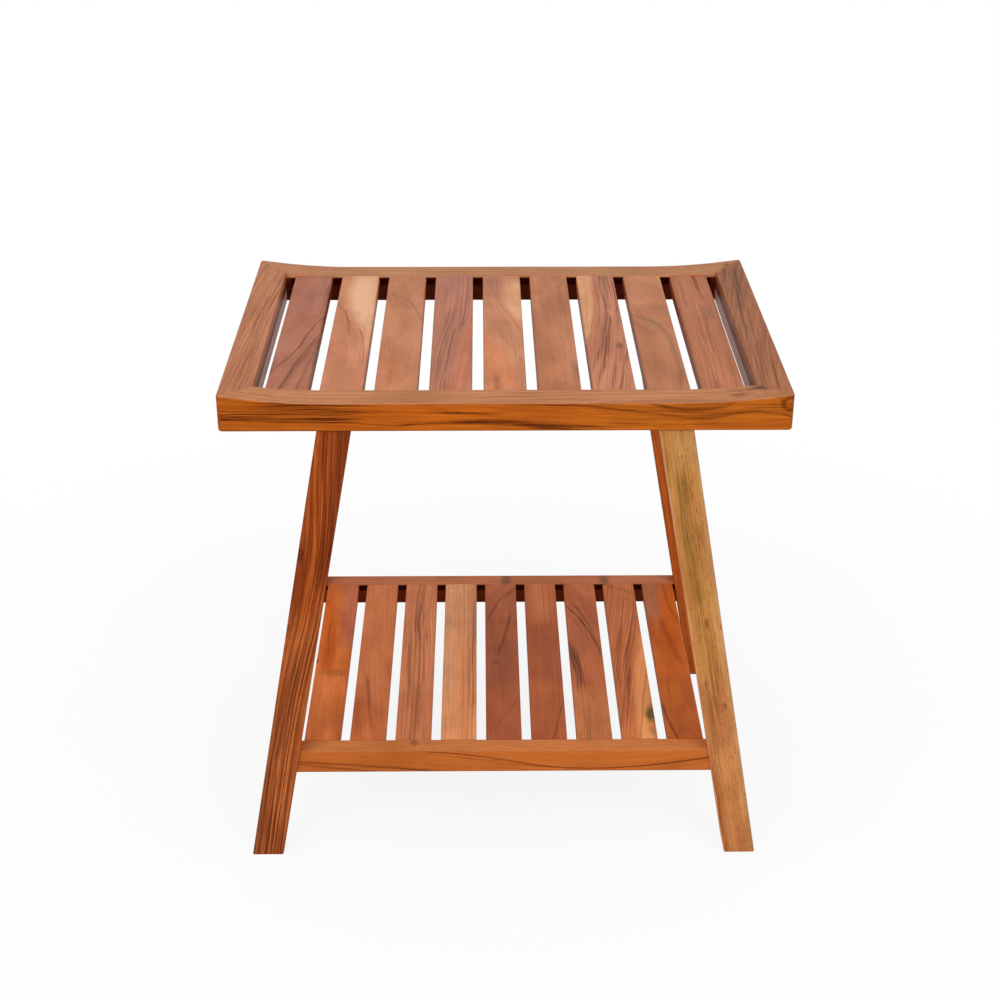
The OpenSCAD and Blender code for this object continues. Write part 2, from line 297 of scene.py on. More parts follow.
def spot_group():
    """A knot or stain: a soft oval in the board, with rings towards its edge."""
    tree, given, result = shader_group(
        "spot",
        {"Point": (0, 0, 0), "Centre": (0, 0, 0), "Radius": (1, 1, 1), "Ringed": 0.0, "Strength": 1.0},
        ["Mask"],
    )
    from_centre = vector_calc(tree, "SUBTRACT", given["Point"], given["Centre"])
    share = vector_calc(tree, "DIVIDE", from_centre, given["Radius"])
    uneven = node(tree, "TexNoise", {"Vector": given["Point"], "Scale": 120.0, "Detail": 2.0}).outputs[0]
    distance = vector_calc(tree, "LENGTH", share)
    rough_distance = calc(tree, "ADD", distance, calc(tree, "MULTIPLY_ADD", uneven, 0.6, -0.3))
    body = ramp(tree, rough_distance, 0.35, 1.0, 1.0, 0.0)
    ripple = calc(tree, "COSINE", calc(tree, "MULTIPLY", rough_distance, 14.0))
    wave = calc(tree, "MULTIPLY_ADD", ripple, 0.5, 0.5)
    ringed = calc(tree, "MULTIPLY", body, ramp(tree, given["Ringed"], 0, 1, 1.0, wave))
    tree.links.new(calc(tree, "MULTIPLY", ringed, given["Strength"]), result["Mask"])
    return tree


WOOD_FIGURE = wood_figure_group()
VEIN = vein_group()
SPOT = spot_group()
START_BEYOND_BOARD = -1
END_BEYOND_BOARD = 2
PLAIN_LOOK = dict(
    rings=0.07, lines=0.05, streaks=0.5, flecks=0.25, clouds=1, ring_width=0.003, wander=0.005,
    pith=(0.05, 0, 0.08), grain=[(0, 50), (100, 50)], side=(1, 1, 1), sheen=0.12,
    veins=[], veins_on_face=False, spots=[],
)
LATE_WOOD = Vector((0.66, 0.56, 0.48, 1))
LINE_DEPTH = 0.6
PORE_SHADE = (0.80, 0.74, 0.68, 1)
# A painted shade for faces that look down.
PAINTED_UNDERSIDE_SHADE = (0.5, 0.42, 0.35, 1)
UNSHADED = (1, 1, 1, 1)
FACING_UP = (0.5, 0.97)
FACING_DOWN = (-0.7, -0.1)
FACING_INWARD = (0.2, 0.6)
# How softly the painted inner tones meet at their split, and how fully they cover.
INNER_BLEND = 0.001
INNER_STRENGTH = 0.92
GRAIN_WAVE = 0.12
ROUGHNESS = (0.46, 0.56)
PORE_DEPTH = 1.7
RELIEF = {"Strength": 0.3, "Distance": 0.00008}


def grain_line(tree, along, points):
    """How far across the board a line lies, from 0 to 1; points are percents along and across it."""
    curve = node(tree, "FloatCurve", {"Value": along})
    line = curve.mapping.curves[0]
    places = [(v / 100, (u / 100 + 0.5) / 2) for v, u in points]
    line.points[0].location = places[0]
    line.points[1].location = places[-1]
    for place in places[1:-1]:
        line.points.new(*place)
    curve.mapping.update()
    return calc(tree, "MULTIPLY_ADD", curve.outputs[0], 2.0, -0.5)


def shade(share, red, green, blue):
    """A factor for a colour: white moved by a share of these steps."""
    return (*(1 + step * share for step in (red, green, blue)), 1)


def wood(name, centre, across, along, size, look, seed):
    """An oiled board. across and along are its directions, and look gives its tone and its figure.

    The faces that look up are painted paler, a painted sheen of the light: look's side is how much of
    each colour the other faces keep. A slat's look also gives the heights between which its sides go
    from a painted shade, as in its gaps, to its top's tone. Another entry tells of the faces that look
    one way: the heights between which they go from painted shade to the top's tone, and their painted
    tones above and below another height, painted shade or, low on the end boards, a painted reflection
    of the floor. Its sheen is how much it mirrors.
    """
    look = PLAIN_LOOK | look
    material = bpy.data.materials.new(name)
    material.use_nodes = True
    tree = material.node_tree
    turn = Matrix((across, along, across.cross(along))).transposed().to_euler()
    place = node(tree, "TexCoord", {}).outputs
    laid = {"Vector": place["Object"], "Location": centre, "Rotation": turn}
    point = node(tree, "Mapping", laid, vector_type="TEXTURE").outputs[0]
    point_x, point_y, _ = node(tree, "SeparateXYZ", {0: point}).outputs
    run = calc(tree, "MULTIPLY_ADD", point_y, 1 / size[1], 0.5)
    figure = node(tree, "Group", {
        "Point": point, "Size": size, "Seed": seed, "Wander": look["wander"],
        "Path": grain_line(tree, run, look["grain"]), "Ring Width": look["ring_width"],
        "Pith": look["pith"],
    }, node_tree=WOOD_FIGURE).outputs
    tone = Vector(srgb(*look["tone"]))
    late = tone * LATE_WOOD
    colour = mixed(tree, calc(tree, "MULTIPLY", figure["Rings"], look["rings"]), tone, late)
    across_board = calc(tree, "MULTIPLY_ADD", point_x, 1 / size[0], 0.5)
    uneven = calc(tree, "MULTIPLY_ADD", figure["Wave"], GRAIN_WAVE, -GRAIN_WAVE / 2)
    across_board = calc(tree, "ADD", across_board, uneven)
    facing = node(tree, "SeparateXYZ", {0: place["Normal"]}).outputs[2]
    height = node(tree, "SeparateXYZ", {0: place["Object"]}).outputs[2]
    # Faces that look up keep the full tone, painted paler as a painted sheen of the light; the rest keep
    # only side of it.
    painted_sheen = ramp(tree, facing, *FACING_UP)
    # A slat's sides keep its top's tone down to given heights and take a painted shade below them.
    if "side_shade_z" in look:
        painted_sheen = calc(tree, "MAXIMUM", painted_sheen, ramp(tree, height, *look["side_shade_z"]))
    # Faces that look one way get painted tones below given heights: painted shade, and on the end boards a
    # painted reflection of the floor.
    if "inner" in look:
        inward, dark_top, unshaded_from, upper, split, lower = look["inner"]
        turned = vector_calc(tree, "DOT_PRODUCT", place["Normal"], inward)
        above_split = ramp(tree, height, split - INNER_BLEND, split + INNER_BLEND)
        inner_tones = mixed(tree, above_split, srgb(*lower), srgb(*upper))
        above = ramp(tree, height, dark_top, unshaded_from)
        exposed = calc(tree, "MAXIMUM", painted_sheen, ramp(tree, turned, *FACING_INWARD))
        painted_sheen = calc(tree, "MULTIPLY", exposed, above)
        inner = calc(tree, "SUBTRACT", exposed, painted_sheen)
    shown = calc(tree, "SUBTRACT", 1.0, painted_sheen) if look["veins_on_face"] else 1.0
    for tint, strength, half_width, softness, streaky, path in look["veins"]:
        start, end = path[0][0], path[-1][0]
        mask = node(tree, "Group", {
            "Across": across_board, "Along": run, "Fibre": figure["Fibre"], "Strength": strength,
            "Line": grain_line(tree, run, path), "Half Width": half_width, "Softness": softness,
            "Streaky": streaky, "Start": start / 100 if start > 0 else START_BEYOND_BOARD,
            "End": end / 100 if end < 100 else END_BEYOND_BOARD,
        }, node_tree=VEIN).outputs[0]
        colour = mixed(tree, calc(tree, "MULTIPLY", mask, shown), colour, srgb(*tint))
    for tint, strength, spot_centre, radius, ringed in look["spots"]:
        mask = node(tree, "Group", {
            "Point": point, "Centre": spot_centre, "Radius": radius, "Ringed": ringed, "Strength": strength,
        }, node_tree=SPOT).outputs[0]
        colour = mixed(tree, mask, colour, srgb(*tint))
    lines = calc(tree, "MULTIPLY", figure["Lines"], look["lines"])
    colour = mixed(tree, lines, colour, late * LINE_DEPTH)
    streaks = look["streaks"]
    clouds = look["clouds"]
    for share, first, second in (
        (figure["Fibre"], shade(streaks, 0.10, 0.11, 0.12), shade(streaks, -0.20, -0.25, -0.30)),
        (figure["Blotch"], shade(clouds, -0.08, -0.11, -0.14), shade(clouds, 0.07, 0.09, 0.10)),
        (figure["Flecks"], UNSHADED, shade(look["flecks"], -0.34, -0.40, -0.46)),
        (figure["Pores"], UNSHADED, PORE_SHADE),
        # Faces that don't look up keep look's side of each colour: the tops are a painted sheen, and a
        # slat's sides a painted shade.
        (painted_sheen, (*look["side"], 1), UNSHADED),
        # Faces that look down get a painted shade.
        (ramp(tree, facing, *FACING_DOWN), PAINTED_UNDERSIDE_SHADE, UNSHADED),
    ):
        colour = mixed(tree, 1.0, colour, mixed(tree, share, first, second), "MULTIPLY")
    # Paints those inward faces: painted shade, and low on the end boards a painted reflection of the floor.
    if "inner" in look:
        colour = mixed(tree, calc(tree, "MULTIPLY", inner, INNER_STRENGTH), colour, inner_tones)
    bsdf = tree.nodes["Principled BSDF"]
    tree.links.new(colour, bsdf.inputs["Base Color"])
    tree.links.new(ramp(tree, figure["Fibre"], 0, 1, *ROUGHNESS), bsdf.inputs["Roughness"])
    bsdf.inputs["Specular IOR Level"].default_value = look["sheen"]
    depth = calc(tree, "MULTIPLY_ADD", figure["Pores"], -PORE_DEPTH, figure["Fibre"])
    bump = node(tree, "Bump", {"Height": depth, **RELIEF}).outputs[0]
    tree.links.new(bump, bsdf.inputs["Normal"])
    return material


def ease(bm, edges, radius, segments=4):
    """Rounds these edges over, as a router bit or a sanding block does."""
    bmesh.ops.bevel(bm, geom=edges, offset=radius, offset_type="OFFSET", segments=segments,
                    profile=0.5, affect="EDGES", material=-1)


def saw(bm, point, outward):
    """Cuts the blank along a plane, takes off the part that the plane looks to, and closes the cut."""
    blank = bm.verts[:] + bm.edges[:] + bm.faces[:]
    cut = bmesh.ops.bisect_plane(bm, geom=blank, plane_co=point, plane_no=outward, clear_outer=True)
    rim = [part for part in cut["geom_cut"] if isinstance(part, bmesh.types.BMEdge)]
    bmesh.ops.contextual_create(bm, geom=rim)


def joint(bm, outward, low, high, reach):
    """Moves the part of a flat face between two corners by reach: a tenon outwards, a mortise inwards.

    Gives back the edges that run along the tenon or mortise.
    """

    def flat_faces():
        return [face for face in bm.faces if face.normal.dot(outward) > FLAT]

    for corner in (low, high):
        for axis in range(3):
            cutter = Vector([float(axis == i) for i in range(3)])
            faces = flat_faces()
            parts = set(faces)
            for face in faces:
                parts.update(face.edges, face.verts)
            bmesh.ops.bisect_plane(bm, geom=list(parts), plane_co=corner, plane_no=cutter)
    inside = [face for face in flat_faces()
              if all(low[i] < face.calc_center_median()[i] < high[i] for i in range(3))]
    pushed = bmesh.ops.extrude_face_region(bm, geom=inside)
    verts = {part for part in pushed["geom"] if isinstance(part, bmesh.types.BMVert)}
    bmesh.ops.translate(bm, verts=list(verts), vec=reach)
    bmesh.ops.delete(bm, geom=inside, context="FACES")
    bm.normal_update()
    return [edge for vert in verts for edge in vert.link_edges if edge.other_vert(vert) not in verts]


def finished(bm, replaced, material):
    """Puts the piece in the place of its node in the frame, in its wood."""
    bmesh.ops.recalc_face_normals(bm, faces=bm.faces)
    mesh = bpy.data.meshes.new(replaced + "_wood")
    bm.to_mesh(mesh)
    bm.free()
    mesh.shade_smooth()
    mesh.set_sharp_from_angle(angle=SHARP_ANGLE)
    mesh.materials.append(material)
    piece = bpy.data.objects.new(replaced + "_wood", mesh)
    bpy.context.collection.objects.link(piece)
    piece.modifiers.new("flat faces stay flat", "WEIGHTED_NORMAL").keep_sharp = True
    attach(piece, "root")
    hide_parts(replaced)


def block(low, high):
    """A sawn blank between two corners."""
    bm = bmesh.new()
    bmesh.ops.create_cube(bm, size=1)
    bmesh.ops.scale(bm, verts=bm.verts, vec=high - low)
    bmesh.ops.translate(bm, verts=bm.verts, vec=(low + high) / 2)
    return bm


def long_edges(bm, direction):
    """The edges that run along a direction."""
    return [edge for edge in bm.edges
            if abs((edge.verts[1].co - edge.verts[0].co).normalized().dot(direction)) > NEARLY_ALONG]


def rise_at(x):
    """How far the frame's top stands above the slats: nothing in the middle, an arc to each end."""
    rise_r = (RISE_RUN**2 + END_RISE**2) / (2 * END_RISE)
    beyond = max(0.0, abs(x) - (SEAT_HALF_W - RISE_RUN))
    return rise_r - math.sqrt(rise_r**2 - beyond**2)


def frame_blank():
    """The whole seat frame in one block, with its rounded corners, dished top and eased rim."""
    bm = block(Vector((-SEAT_HALF_W, -SEAT_HALF_D, RAIL_Z)), Vector((SEAT_HALF_W, SEAT_HALF_D, SLAT_TOP)))
    ease(bm, long_edges(bm, UPWARDS), CORNER_R, segments=6)
    for side in (-1, 1):
        for step in range(int(RISE_RUN / RISE_STEP)):
            x = side * (SEAT_HALF_W - RISE_RUN + step * RISE_STEP)
            blank = bm.verts[:] + bm.edges[:] + bm.faces[:]
            bmesh.ops.bisect_plane(bm, geom=blank, plane_co=(x, 0, 0), plane_no=RIGHTWARDS)
    for vert in bm.verts:
        if vert.co.z > SLAT_TOP - HAIR:
            vert.co.z += rise_at(vert.co.x)
    bm.normal_update()
    rim = [edge for edge in bm.edges
           if sum(abs(face.normal.z) > NEARLY_ALONG for face in edge.link_faces) == 1]
    ease(bm, rim, FRAME_EDGE_R, segments=3)
    return bm


def mitre_plane(right, back):
    """A point on a corner's mitre, and the mitre's direction away from the rail."""
    point = Vector((right * INNER_HALF_W, back * INNER_HALF_D, RAIL_Z))
    run = Vector((right * (SEAT_HALF_W - INNER_HALF_W), back * (SEAT_HALF_D - INNER_HALF_D), 0))
    return point, Vector((right * abs(run.y), -back * abs(run.x), 0)).normalized()


def key_pocket(bm, point, outward):
    """Sinks the pocket for half a corner key into a mitre face."""
    middle = Vector((math.copysign((SEAT_HALF_W + INNER_HALF_W) / 2, point.x), 0, 0))
    half = Vector(((KEY_W / 2 + SIDE_CLEAR) * abs(outward.y), 1, 0))
    low = middle - half + Vector((0, 0, KEY_Z[0]))
    high = middle + half + Vector((0, 0, KEY_Z[1]))
    joint(bm, outward, low, high, -outward * (KEY_L / 2 + END_CLEAR))


def leg_tenon_box(spare):
    """Where a right leg's tenon meets the rail's underside, with spare room round it."""
    outer_x = LEG_HIGH.x - RAIL_Z * math.tan(LEG_SPLAY)
    middle = Vector((outer_x - LEG_W / 2 / math.cos(LEG_SPLAY), (LEG_LOW.y + LEG_HIGH.y) / 2, RAIL_Z))
    half = Vector(((LEG_TENON_W / 2 + spare) / math.cos(LEG_SPLAY), LEG_TENON_T / 2 + spare, 0.001))
    return middle - half, middle + half


def rail(back):
    """A long member: its side of the blank between the two mitres, with its groove and mortises."""
    bm = frame_blank()
    inward = Vector((0, -back, 0))
    saw(bm, Vector((0, back * INNER_HALF_D, 0)), inward)
    for right in (-1, 1):
        saw(bm, *mitre_plane(right, back))
    bm.normal_update()
    groove_low = Vector((-GROOVE_HALF_W, -1, GROOVE_Z[0]))
    groove_high = Vector((GROOVE_HALF_W, 1, GROOVE_Z[1]))
    joint(bm, inward, groove_low, groove_high, -inward * GROOVE_DEPTH)
    rise = LEG_TENON_H + END_CLEAR
    lean = rise * math.tan(LEG_SPLAY)
    for right in (-1, 1):
        key_pocket(bm, *mitre_plane(right, back))
        low, high = leg_tenon_box(SIDE_CLEAR)
        corners = [Vector((right * corner.x, back * corner.y, corner.z)) for corner in (low, high)]
        low = Vector(map(min, *corners))
        high = Vector(map(max, *corners))
        walls = joint(bm, DOWNWARDS, low, high, Vector((-right * lean, 0, rise)))
        ease(bm, walls, LEG_EDGE_R)
        bm.normal_update()
    return bm


DARK = (62, 28, 14)
BROWN = (112, 52, 24)


def vein(path, strength, width, tint=DARK):
    """A thin line along a path, whose places are percents along the board and across it."""
    return tint, strength, width, 1.0, 0.35, path


def streaked(path, strength, width, tint=BROWN):
    """A bundle of fine streaks along a path."""
    return tint, strength, width, 0.9, 1.0, path


def zone(path, strength, width, tint, edge):
    """A stretch of another tone along a path, with an edge from hard, 0, to soft, 1."""
    return tint, strength, width, edge, 0.15, path


def band(start, end, strength, tint):
    """A soft change of tone over the whole width, from one percent of the length to another."""
    return zone([(start, 50), (end, 50)], strength, 0.9, tint, 1)


# The rails' inner faces below the slats' top are painted dark: painted shade, one tone above the groove's
# foot and another below.
RAIL_INNER_SHADE_Z = (SLAT_TOP - 0.0026, SLAT_TOP - 0.0004)
RAIL_INNER_SHADE = (*RAIL_INNER_SHADE_Z, (86, 12, 4), GROOVE_Z[0], (66, 9, 3))
RAIL_DARK = (92, 46, 24)
RAIL_BROWN = (146, 82, 44)
DULL = 0.04

# Each tone is a top's, painted paler as a painted sheen of the light; side gives the other faces their
# deeper colour.
rail_looks = {
    "front_rail": dict(
        tone=(199, 135, 94), side=(0.76, 0.43, 0.07), sheen=DULL, rings=0.3, lines=0.3, streaks=1.1,
        flecks=0.4, ring_width=0.002, pith=(0.03, 0.02, -0.06),
        grain=[(0, 50), (50, 50), (80, 60), (100, 55)], inner=(BACKWARDS, *RAIL_INNER_SHADE), veins_on_face=True,
        veins=[
            zone([(24, 60), (50, 50)], 0.5, 0.35, (210, 136, 84), 0.9),
            zone([(0, 50), (14, 45), (25, 42)], 0.35, 0.5, RAIL_BROWN, 1),
            zone([(8, 30), (16, 34), (22, 40)], 0.5, 0.22, RAIL_DARK, 1),
            zone([(13, 20), (20, 17), (26.5, 16)], 0.85, 0.13, RAIL_DARK, 1),
            zone([(2, 62), (10, 64), (17, 66)], 0.45, 0.12, RAIL_DARK, 1),
            streaked([(0, 62), (7, 61), (16, 66), (24, 70)], 0.9, 0.1, DARK),
            vein([(3, 16), (10, 19), (17, 17), (27, 20)], 0.9, 0.022, RAIL_DARK),
            vein([(9, 27), (15, 25), (26, 28)], 1, 0.03),
            vein([(4, 33), (15, 32), (24, 36)], 0.8, 0.018, RAIL_DARK),
            vein([(12, 40), (18, 38), (24, 43)], 1, 0.03),
            vein([(0, 42), (8, 44), (20, 46), (27, 45)], 0.8, 0.018, RAIL_DARK),
            vein([(0, 52), (10, 50), (18, 53), (23, 51)], 0.95, 0.028),
            vein([(0, 58), (10, 60), (20, 62), (26, 60)], 0.7, 0.018, RAIL_DARK),
            vein([(8, 70), (16, 71), (22, 74)], 0.8, 0.02),
            vein([(18, 72), (24, 76), (30, 84)], 0.6, 0.03, RAIL_DARK),
            vein([(2, 78), (10, 80), (20, 84)], 0.5, 0.04, RAIL_BROWN),
            vein([(30, 86), (38, 77), (47, 73), (55, 78)], 0.9, 0.035, RAIL_DARK),
            vein([(27, 40), (31, 45)], 0.6, 0.03, RAIL_DARK),
            streaked([(38, 44), (48, 56)], 0.7, 0.18, RAIL_DARK),
            zone([(40, 74), (50, 72), (56, 80), (66, 88)], 0.6, 0.13, RAIL_DARK, 1),
            streaked([(42, 78), (50, 76), (58, 88), (66, 90)], 0.9, 0.13, DARK),
            zone([(54, 10), (62, 12)], 0.6, 0.12, RAIL_BROWN, 1),
            vein([(54, 24), (62, 27), (66, 31), (72, 44), (78, 55), (84, 63), (87, 60), (92, 45), (96, 50),
                (100, 63)], 1, 0.055),
            zone([(64, 36), (72, 50), (80, 64)], 0.45, 0.1, RAIL_BROWN, 1),
            streaked([(68, 80), (76, 74), (86, 80)], 0.7, 0.16, RAIL_DARK),
            vein([(72, 14), (76, 27), (80, 38), (84, 40), (87, 34), (89, 22)], 1, 0.075),
            streaked([(82, 62), (87, 56), (91, 46)], 1, 0.1, RAIL_DARK),
            zone([(83, 64), (88, 58)], 0.5, 0.09, RAIL_DARK, 1),
            band(60, 100, 0.35, (206, 148, 106)),
            vein([(78, 44), (86, 50), (90, 50)], 0.5, 0.03, RAIL_DARK),
            streaked([(93, 36), (100, 30)], 0.6, 0.16, RAIL_DARK),
        ],
        spots=[
            (RAIL_DARK, 0.8, (-0.0085, 0.2265, 0.014), (0.012, 0.015, 0.011), 0.9),
            ((112, 70, 62), 1, (-0.0135, 0.208, -0.009), (0.006, 0.02, 0.007), 0),
            ((112, 70, 62), 0.5, (-0.011, 0.186, 0.002), (0.003, 0.01, 0.006), 0),
        ],
    ),
    "back_rail": dict(
        tone=(197, 138, 99), side=(0.696, 0.36, 0.056), sheen=DULL, rings=0.25, lines=0.15, streaks=0.9,
        ring_width=0.002, pith=(0.04, -0.03, 0.09), grain=[(0, 60), (40, 45), (100, 55)],
        inner=(FORWARDS, *RAIL_INNER_SHADE), veins_on_face=True,
        veins=[
            streaked([(0, 50), (50, 60), (100, 40)], 0.6, 0.3, RAIL_DARK),
            vein([(30, 30), (60, 40), (80, 60)], 0.7, 0.03, RAIL_DARK),
        ],
        spots=[(DARK, 0.55, (-0.016, 0.216, -0.002), (0.006, 0.005, 0.01), 0)],
    ),
}
rail_size = Vector((END_RISE + SLAT_TOP - RAIL_Z, 2 * SEAT_HALF_W, SEAT_HALF_D - INNER_HALF_D))
for rail_name, look in rail_looks.items():
    back = 1 if "back" in rail_name else -1
    low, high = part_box(rail_name)
    timber = wood(rail_name, (low + high) / 2, DOWNWARDS, RIGHTWARDS, rail_size, look, 3 + back)
    finished(rail(back), rail_name, timber)

# End boards. The short members close the seat frame; their tops go on along the same arc, and
# their ends are mitred to the rails with a hidden key across each mitre.


def end_board(right):
    """A short member: its side of the blank between the two mitres."""
    bm = frame_blank()
    saw(bm, Vector((right * INNER_HALF_W, 0, 0)), Vector((-right, 0, 0)))
    for back in (-1, 1):
        point, outward = mitre_plane(right, back)
        saw(bm, point, -outward)
    bm.normal_update()
    for back in (-1, 1):
        point, outward = mitre_plane(right, back)
        key_pocket(bm, point, -outward)
    return bm


GREY_BROWN = (104, 78, 62)
# The end boards' inner faces: painted shade in a band high up, and a painted pale reflection of the floor
# below it.
BOARD_INNER_SHADE_AND_REFLECTION = (0.4365, 0.4475, (112, 40, 8), 0.4355, (198, 158, 146))

# Each tone is a top's, painted paler as a painted sheen of the light; side gives the other faces their
# deeper colour.
board_looks = {
    "left_end_board": dict(
        tone=(197, 129, 89), side=(0.6, 0.36, 0.1), rings=0.25, lines=0.3, streaks=0.9, flecks=0.4,
        ring_width=0.0022, pith=(0.06, 0.05, 0.05), grain=[(0, 90), (35, 60), (60, 50), (100, 30)],
        inner=(RIGHTWARDS, *BOARD_INNER_SHADE_AND_REFLECTION),
        veins=[
            streaked([(10, 90), (35, 70), (60, 40)], 0.3, 0.2),
            streaked([(50, 80), (75, 70), (100, 60)], 0.3, 0.25),
            vein([(26, 45), (34, 62), (42, 60), (50, 45), (62, 30)], 0.4, 0.04, BROWN),
            vein([(30, 90), (50, 72), (70, 62), (90, 56)], 0.4, 0.035, BROWN),
            vein([(40, 35), (55, 20), (70, 12)], 0.35, 0.035, BROWN),
            vein([(55, 90), (70, 80), (90, 76)], 0.35, 0.03, BROWN),
        ],
    ),
    "right_end_board": dict(
        tone=(170, 107, 70), side=(0.6, 0.36, 0.1), rings=0.3, lines=0.4, streaks=0.9, flecks=0.5,
        ring_width=0.0022, pith=(0.05, 0.1, 0.04), grain=[(0, 75), (30, 55), (60, 35), (100, 20)],
        inner=(LEFTWARDS, *BOARD_INNER_SHADE_AND_REFLECTION),
        veins=[
            zone([(6, 60), (25, 50), (40, 40)], 0.35, 0.3, GREY_BROWN, 1),
            streaked([(8, 70), (25, 55), (40, 45), (60, 22)], 0.55, 0.2, (84, 52, 36)),
            vein([(10, 50), (20, 44), (30, 42), (42, 30)], 0.5, 0.04),
            vein([(20, 66), (35, 54), (48, 42), (60, 22)], 0.5, 0.035),
            streaked([(50, 98), (65, 85), (80, 72), (100, 60)], 0.6, 0.1),
            vein([(55, 92), (70, 78), (80, 70)], 0.6, 0.035),
            vein([(62, 74), (74, 62), (85, 54)], 0.45, 0.03),
            streaked([(65, 40), (80, 25), (100, 10)], 0.5, 0.14),
            streaked([(0, 30), (15, 20), (30, 10)], 0.5, 0.14),
        ],
        spots=[(DARK, 0.6, (-0.01, 0.152, -0.01), (0.006, 0.004, 0.01), 0)],
    ),
}
board_size = Vector((SEAT_HALF_W - INNER_HALF_W, 2 * SEAT_HALF_D, END_RISE + SLAT_TOP - RAIL_Z))
for board_name, look in board_looks.items():
    right = 1 if "right" in board_name else -1
    low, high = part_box(board_name)
    timber = wood(board_name, (low + high) / 2, RIGHTWARDS, FORWARDS, board_size, look, 7 + right)
    finished(end_board(right), board_name, timber)

# Seat slats. Nine boards of mixed colour from front to back, flush with the rails, eased along
# their edges, each with a tongue at both ends in the rails' grooves.
TONGUE_DROP = 0.002
SEAT_TONGUE_L = 0.0076
SEAT_TONGUE_T = 0.007
SLAT_EDGE_R = 0.0015
# The slats' sides are painted dark below a depth under the top: a painted shade, as in the gaps between
# them.
SEAT_SIDE_SHADE_DEPTH = 0.007
UNSHADED_SIDE_DEPTH = 0.0005
PAINTED_SLAT_SIDE_SHADE = (0.42, 0.20, 0.07)


def slat(low, high, tongue_l, tongue_t):
    """A board with rounded long edges and a tongue at each end, in the box that its node takes."""
    shoulder = high.y - tongue_l
    bm = block(Vector((low.x, -shoulder, low.z)), Vector((high.x, shoulder, high.z)))
    ease(bm, long_edges(bm, BACKWARDS), SLAT_EDGE_R, segments=3)
    bm.normal_update()
    tongue_low = Vector((low.x + SLAT_EDGE_R, -1, high.z - TONGUE_DROP - tongue_t))
    tongue_high = Vector((high.x - SLAT_EDGE_R, 1, high.z - TONGUE_DROP))
    for outward in (BACKWARDS, FORWARDS):
        joint(bm, outward, tongue_low, tongue_high, outward * tongue_l)
        bm.normal_update()
    return bm


def lay_slats(row, looks, tongue_l, tongue_t, side_shade_depth, seed):
    """Makes a row of slats from left to right. Their sides get a painted shade from this depth below the top
    down.
    """
    for number, look in enumerate(looks, start=1):
        slat_name = f"{row}_slat_{number}"
        low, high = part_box(slat_name)
        size = Vector((high.x - low.x, high.y - low.y - 2 * tongue_l, high.z - low.z))
        look = look | dict(side=PAINTED_SLAT_SIDE_SHADE, side_shade_z=(high.z - side_shade_depth, high.z - UNSHADED_SIDE_DEPTH))
        timber = wood(slat_name, (low + high) / 2, RIGHTWARDS, FORWARDS, size, look, seed + 3 * number)
        finished(slat(low, high, tongue_l, tongue_t), slat_name, timber)


PALE = (232, 174, 130)
SMOKY = (110, 88, 58)
MAUVE = (164, 106, 92)
